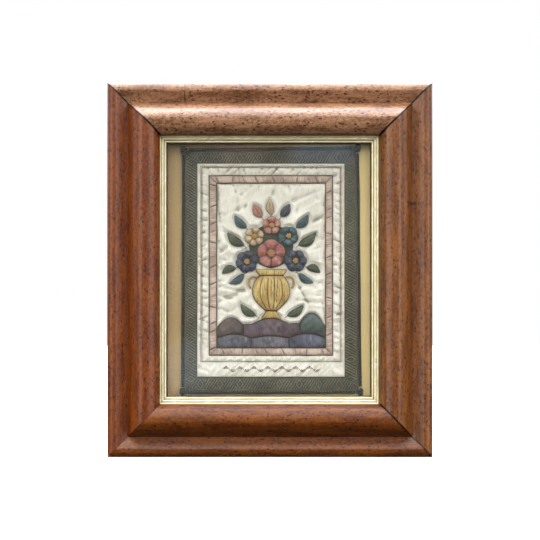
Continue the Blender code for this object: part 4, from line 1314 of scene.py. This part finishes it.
# French knots: a spiral of little balls over each heart, which is this share of the blossom's radius
HEART = 0.24
KNOTS = 19
KNOT_BALL = 0.85
PETAL_STEPS = 22
outlines, hearts = [], []
section = curve_through(BLOSSOM_SECTION, 10)
for seed, (name, x, z, radius, petals, turn, rise, slot) in enumerate(BLOSSOMS):
    back = WORK_BACK + PATCH_THICK + GAP
    s, t = pad_shares(30, petals * PETAL_STEPS + 1)
    angle = 2 * np.pi * s + math.radians(turn)
    furrow = 1 - np.abs(np.cos(np.pi * petals * s)) ** 0.7
    reach = radius * t * (1 - PETAL_NOTCH * furrow * t)
    pad = rise * np.interp(t, *section.T) * (1 - 1.3 * PETAL_FURROW * furrow * ease((t - 0.3) / 0.25))
    pad += 0.14 * ripples(5.0 * s * petals, (1.0, 1.7, 2.3), seed) * np.sin(np.pi * t) * ease((t - 0.3) / 0.2)
    pad += PATCH_THICK + GAP
    heart_edge = 0.6 * np.exp(-(((t - 0.33) / 0.07) ** 2))
    shade = np.clip(0.75 * furrow * ease(t * 3) + heart_edge, 0, 1)
    grid = pad_grid(x + reach * np.cos(angle), z + reach * np.sin(angle), pad, shade=shade)
    grid.update(u=12 * s * petals * MM, w=radius * t * MM)
    flower = cloth_piece(f"padded_{name}", grid, back, SILKS[slot], name, RIM_ONLY)
    outlines.append(resampled(level_path(grid["x"][-1, :-1], grid["z"][-1, :-1], back + 0.5), 0.7))
    for column in range(PETAL_STEPS // 2, s.shape[1], PETAL_STEPS):
        vein = np.stack([grid[field][10:, column] for field in "xzv"], axis=1) + (0, 0, 0.1)
        outlines.append(resampled(vein, 0.7))
    for step in range(KNOTS):
        far = HEART * math.sqrt((step + 0.3) / KNOTS)
        way = 2.4 * step
        high = back + PAD_EDGE + rise * np.interp(far, *section.T) + 0.2
        far *= radius
        hearts.append((MIDDLE + x + far * math.cos(way), z + far * math.sin(way), high))
threads("flower_outlines", outlines, 0.4, DARK_THREAD)
s, t = pad_shares(6, 9)
latitude, longitude = np.pi * t, 2 * np.pi * s
out = KNOT_BALL * np.sin(latitude)
balls = []
for x, z, v in hearts:
    ball = {"x": x + out * np.cos(longitude), "z": z + out * np.sin(longitude)}
    ball.update(v=v + 0.75 * np.cos(latitude), u=KNOT_BALL * longitude * MM, w=KNOT_BALL * latitude * MM)
    balls.append((ball, 0))
piece("french_knots", balls, [GOLD_THREAD], merge=0.02)

# Stage, lights and camera
# A pale floor, and the soft light of a pale room: a bright ceiling, a window on either side in front,
# and dark ground. The glass shows a faint reflection of the room, with three small glares.

# Parts of the room: name, angle over from the front, angle round from the front, edge, all in degrees,
# then colour and brightness
ROOM = (
    ("ceiling", (68, 160), (-180, 180), 8, "#F2F5FF", 6.0),
    ("cornice", (26, 70), (-62, 62), 12, "#F4ECE6", 3.8),
    ("window_left", (-20, 24), (-62, -30), 12, "#F3ECE6", 2.4),
    ("window_right", (-20, 24), (30, 62), 12, "#F3E8E2", 2.4),
    ("glare_high", (10.8, 14), (3.5, 8), 1, "#A8C0E8", 0.9),
    ("glare_warm", (10.8, 14), (-2, 1.2), 1, "#D0A498", 0.6),
    ("glare_low", (-5.6, -2.4), (-6.6, -3.2), 1, "#A8C0DC", 0.9),
)


def zone(angle, limits, edge):
    """1 where an angle lies between two limits, with a soft edge."""
    low, high, edge = (math.radians(value) for value in (*limits, edge))
    return between(angle, low - edge, low + edge) * between(angle, high - edge, high + edge, 1.0, 0.0)


world = bpy.data.worlds.new("studio")
world.use_nodes = True
bpy.context.scene.world = world
tree = world.node_tree
way = node(tree, "TexCoord", {}, "Generated")
x, y, z = split(way)
over, round_way = (part.math("ARCTAN2", y * -1.0) for part in (z, x))
aside = between(x.math("ABSOLUTE"), 0.5, 0.85, 1.0, 0.15)
haze = between(noise(way, 5.0), 0.46, 0.7) * zone(over, (-30, 30), 8) * zone(round_way, (-30, 30), 8)
room = blend(haze, blend(between(z, -0.35, 0.2), "#554E46", "#9E9B95"), "#A6AEB0")
for name, over_limits, round_limits, edge, colour, bright in ROOM:
    # The ceiling reaches all round, and fades towards the sides
    within = aside if name == "ceiling" else zone(round_way, round_limits, edge)
    share = zone(over, over_limits, edge) * within
    lit = node(tree, "VectorMath", {0: blend(share, "#000000", colour), 3: bright}, operation="SCALE")
    room = node(tree, "VectorMath", {0: room, 1: lit}, operation="ADD")
seen = node(tree, "LightPath", {}, "Is Camera Ray")
feed(tree.nodes["Background"], {"Color": blend(seen, room, "#FFFFFF"), "Strength": 1.0})

floor_mesh = bpy.data.meshes.new("floor")
floor_corners = [(x, y, -0.5 * FRAME_TALL * MM) for x, y in ((-3, -3), (3, -3), (3, 3), (-3, 3))]
floor_mesh.from_pydata(floor_corners, [], [(0, 1, 2, 3)])
floor = bpy.data.objects.new("floor", floor_mesh)
bpy.context.scene.collection.objects.link(floor)
FLOOR = {"Base_Color": (0.9, 0.9, 0.9, 1), "Emission_Color": "#FFFFFF", "Emission_Strength": 0.7}
floor_mesh.materials.append(surface("pale_floor", Roughness=0.9, **FLOOR)[0])
floor.visible_glossy = False
floor.visible_diffuse = False
floor.visible_transmission = False

eye = bpy.data.cameras.new("camera")
eye.lens = 51.7
eye.sensor_width = 36
eye.shift_x = 0.0466
eye.shift_y = 0.077
camera = bpy.data.objects.new("camera", eye)
camera.location = (-0.03, -0.95, -0.05)
camera.rotation_euler = (math.radians(90), 0, 0)
bpy.context.scene.collection.objects.link(camera)
bpy.context.scene.camera = camera
bpy.context.scene.view_settings.view_transform = "Standard"
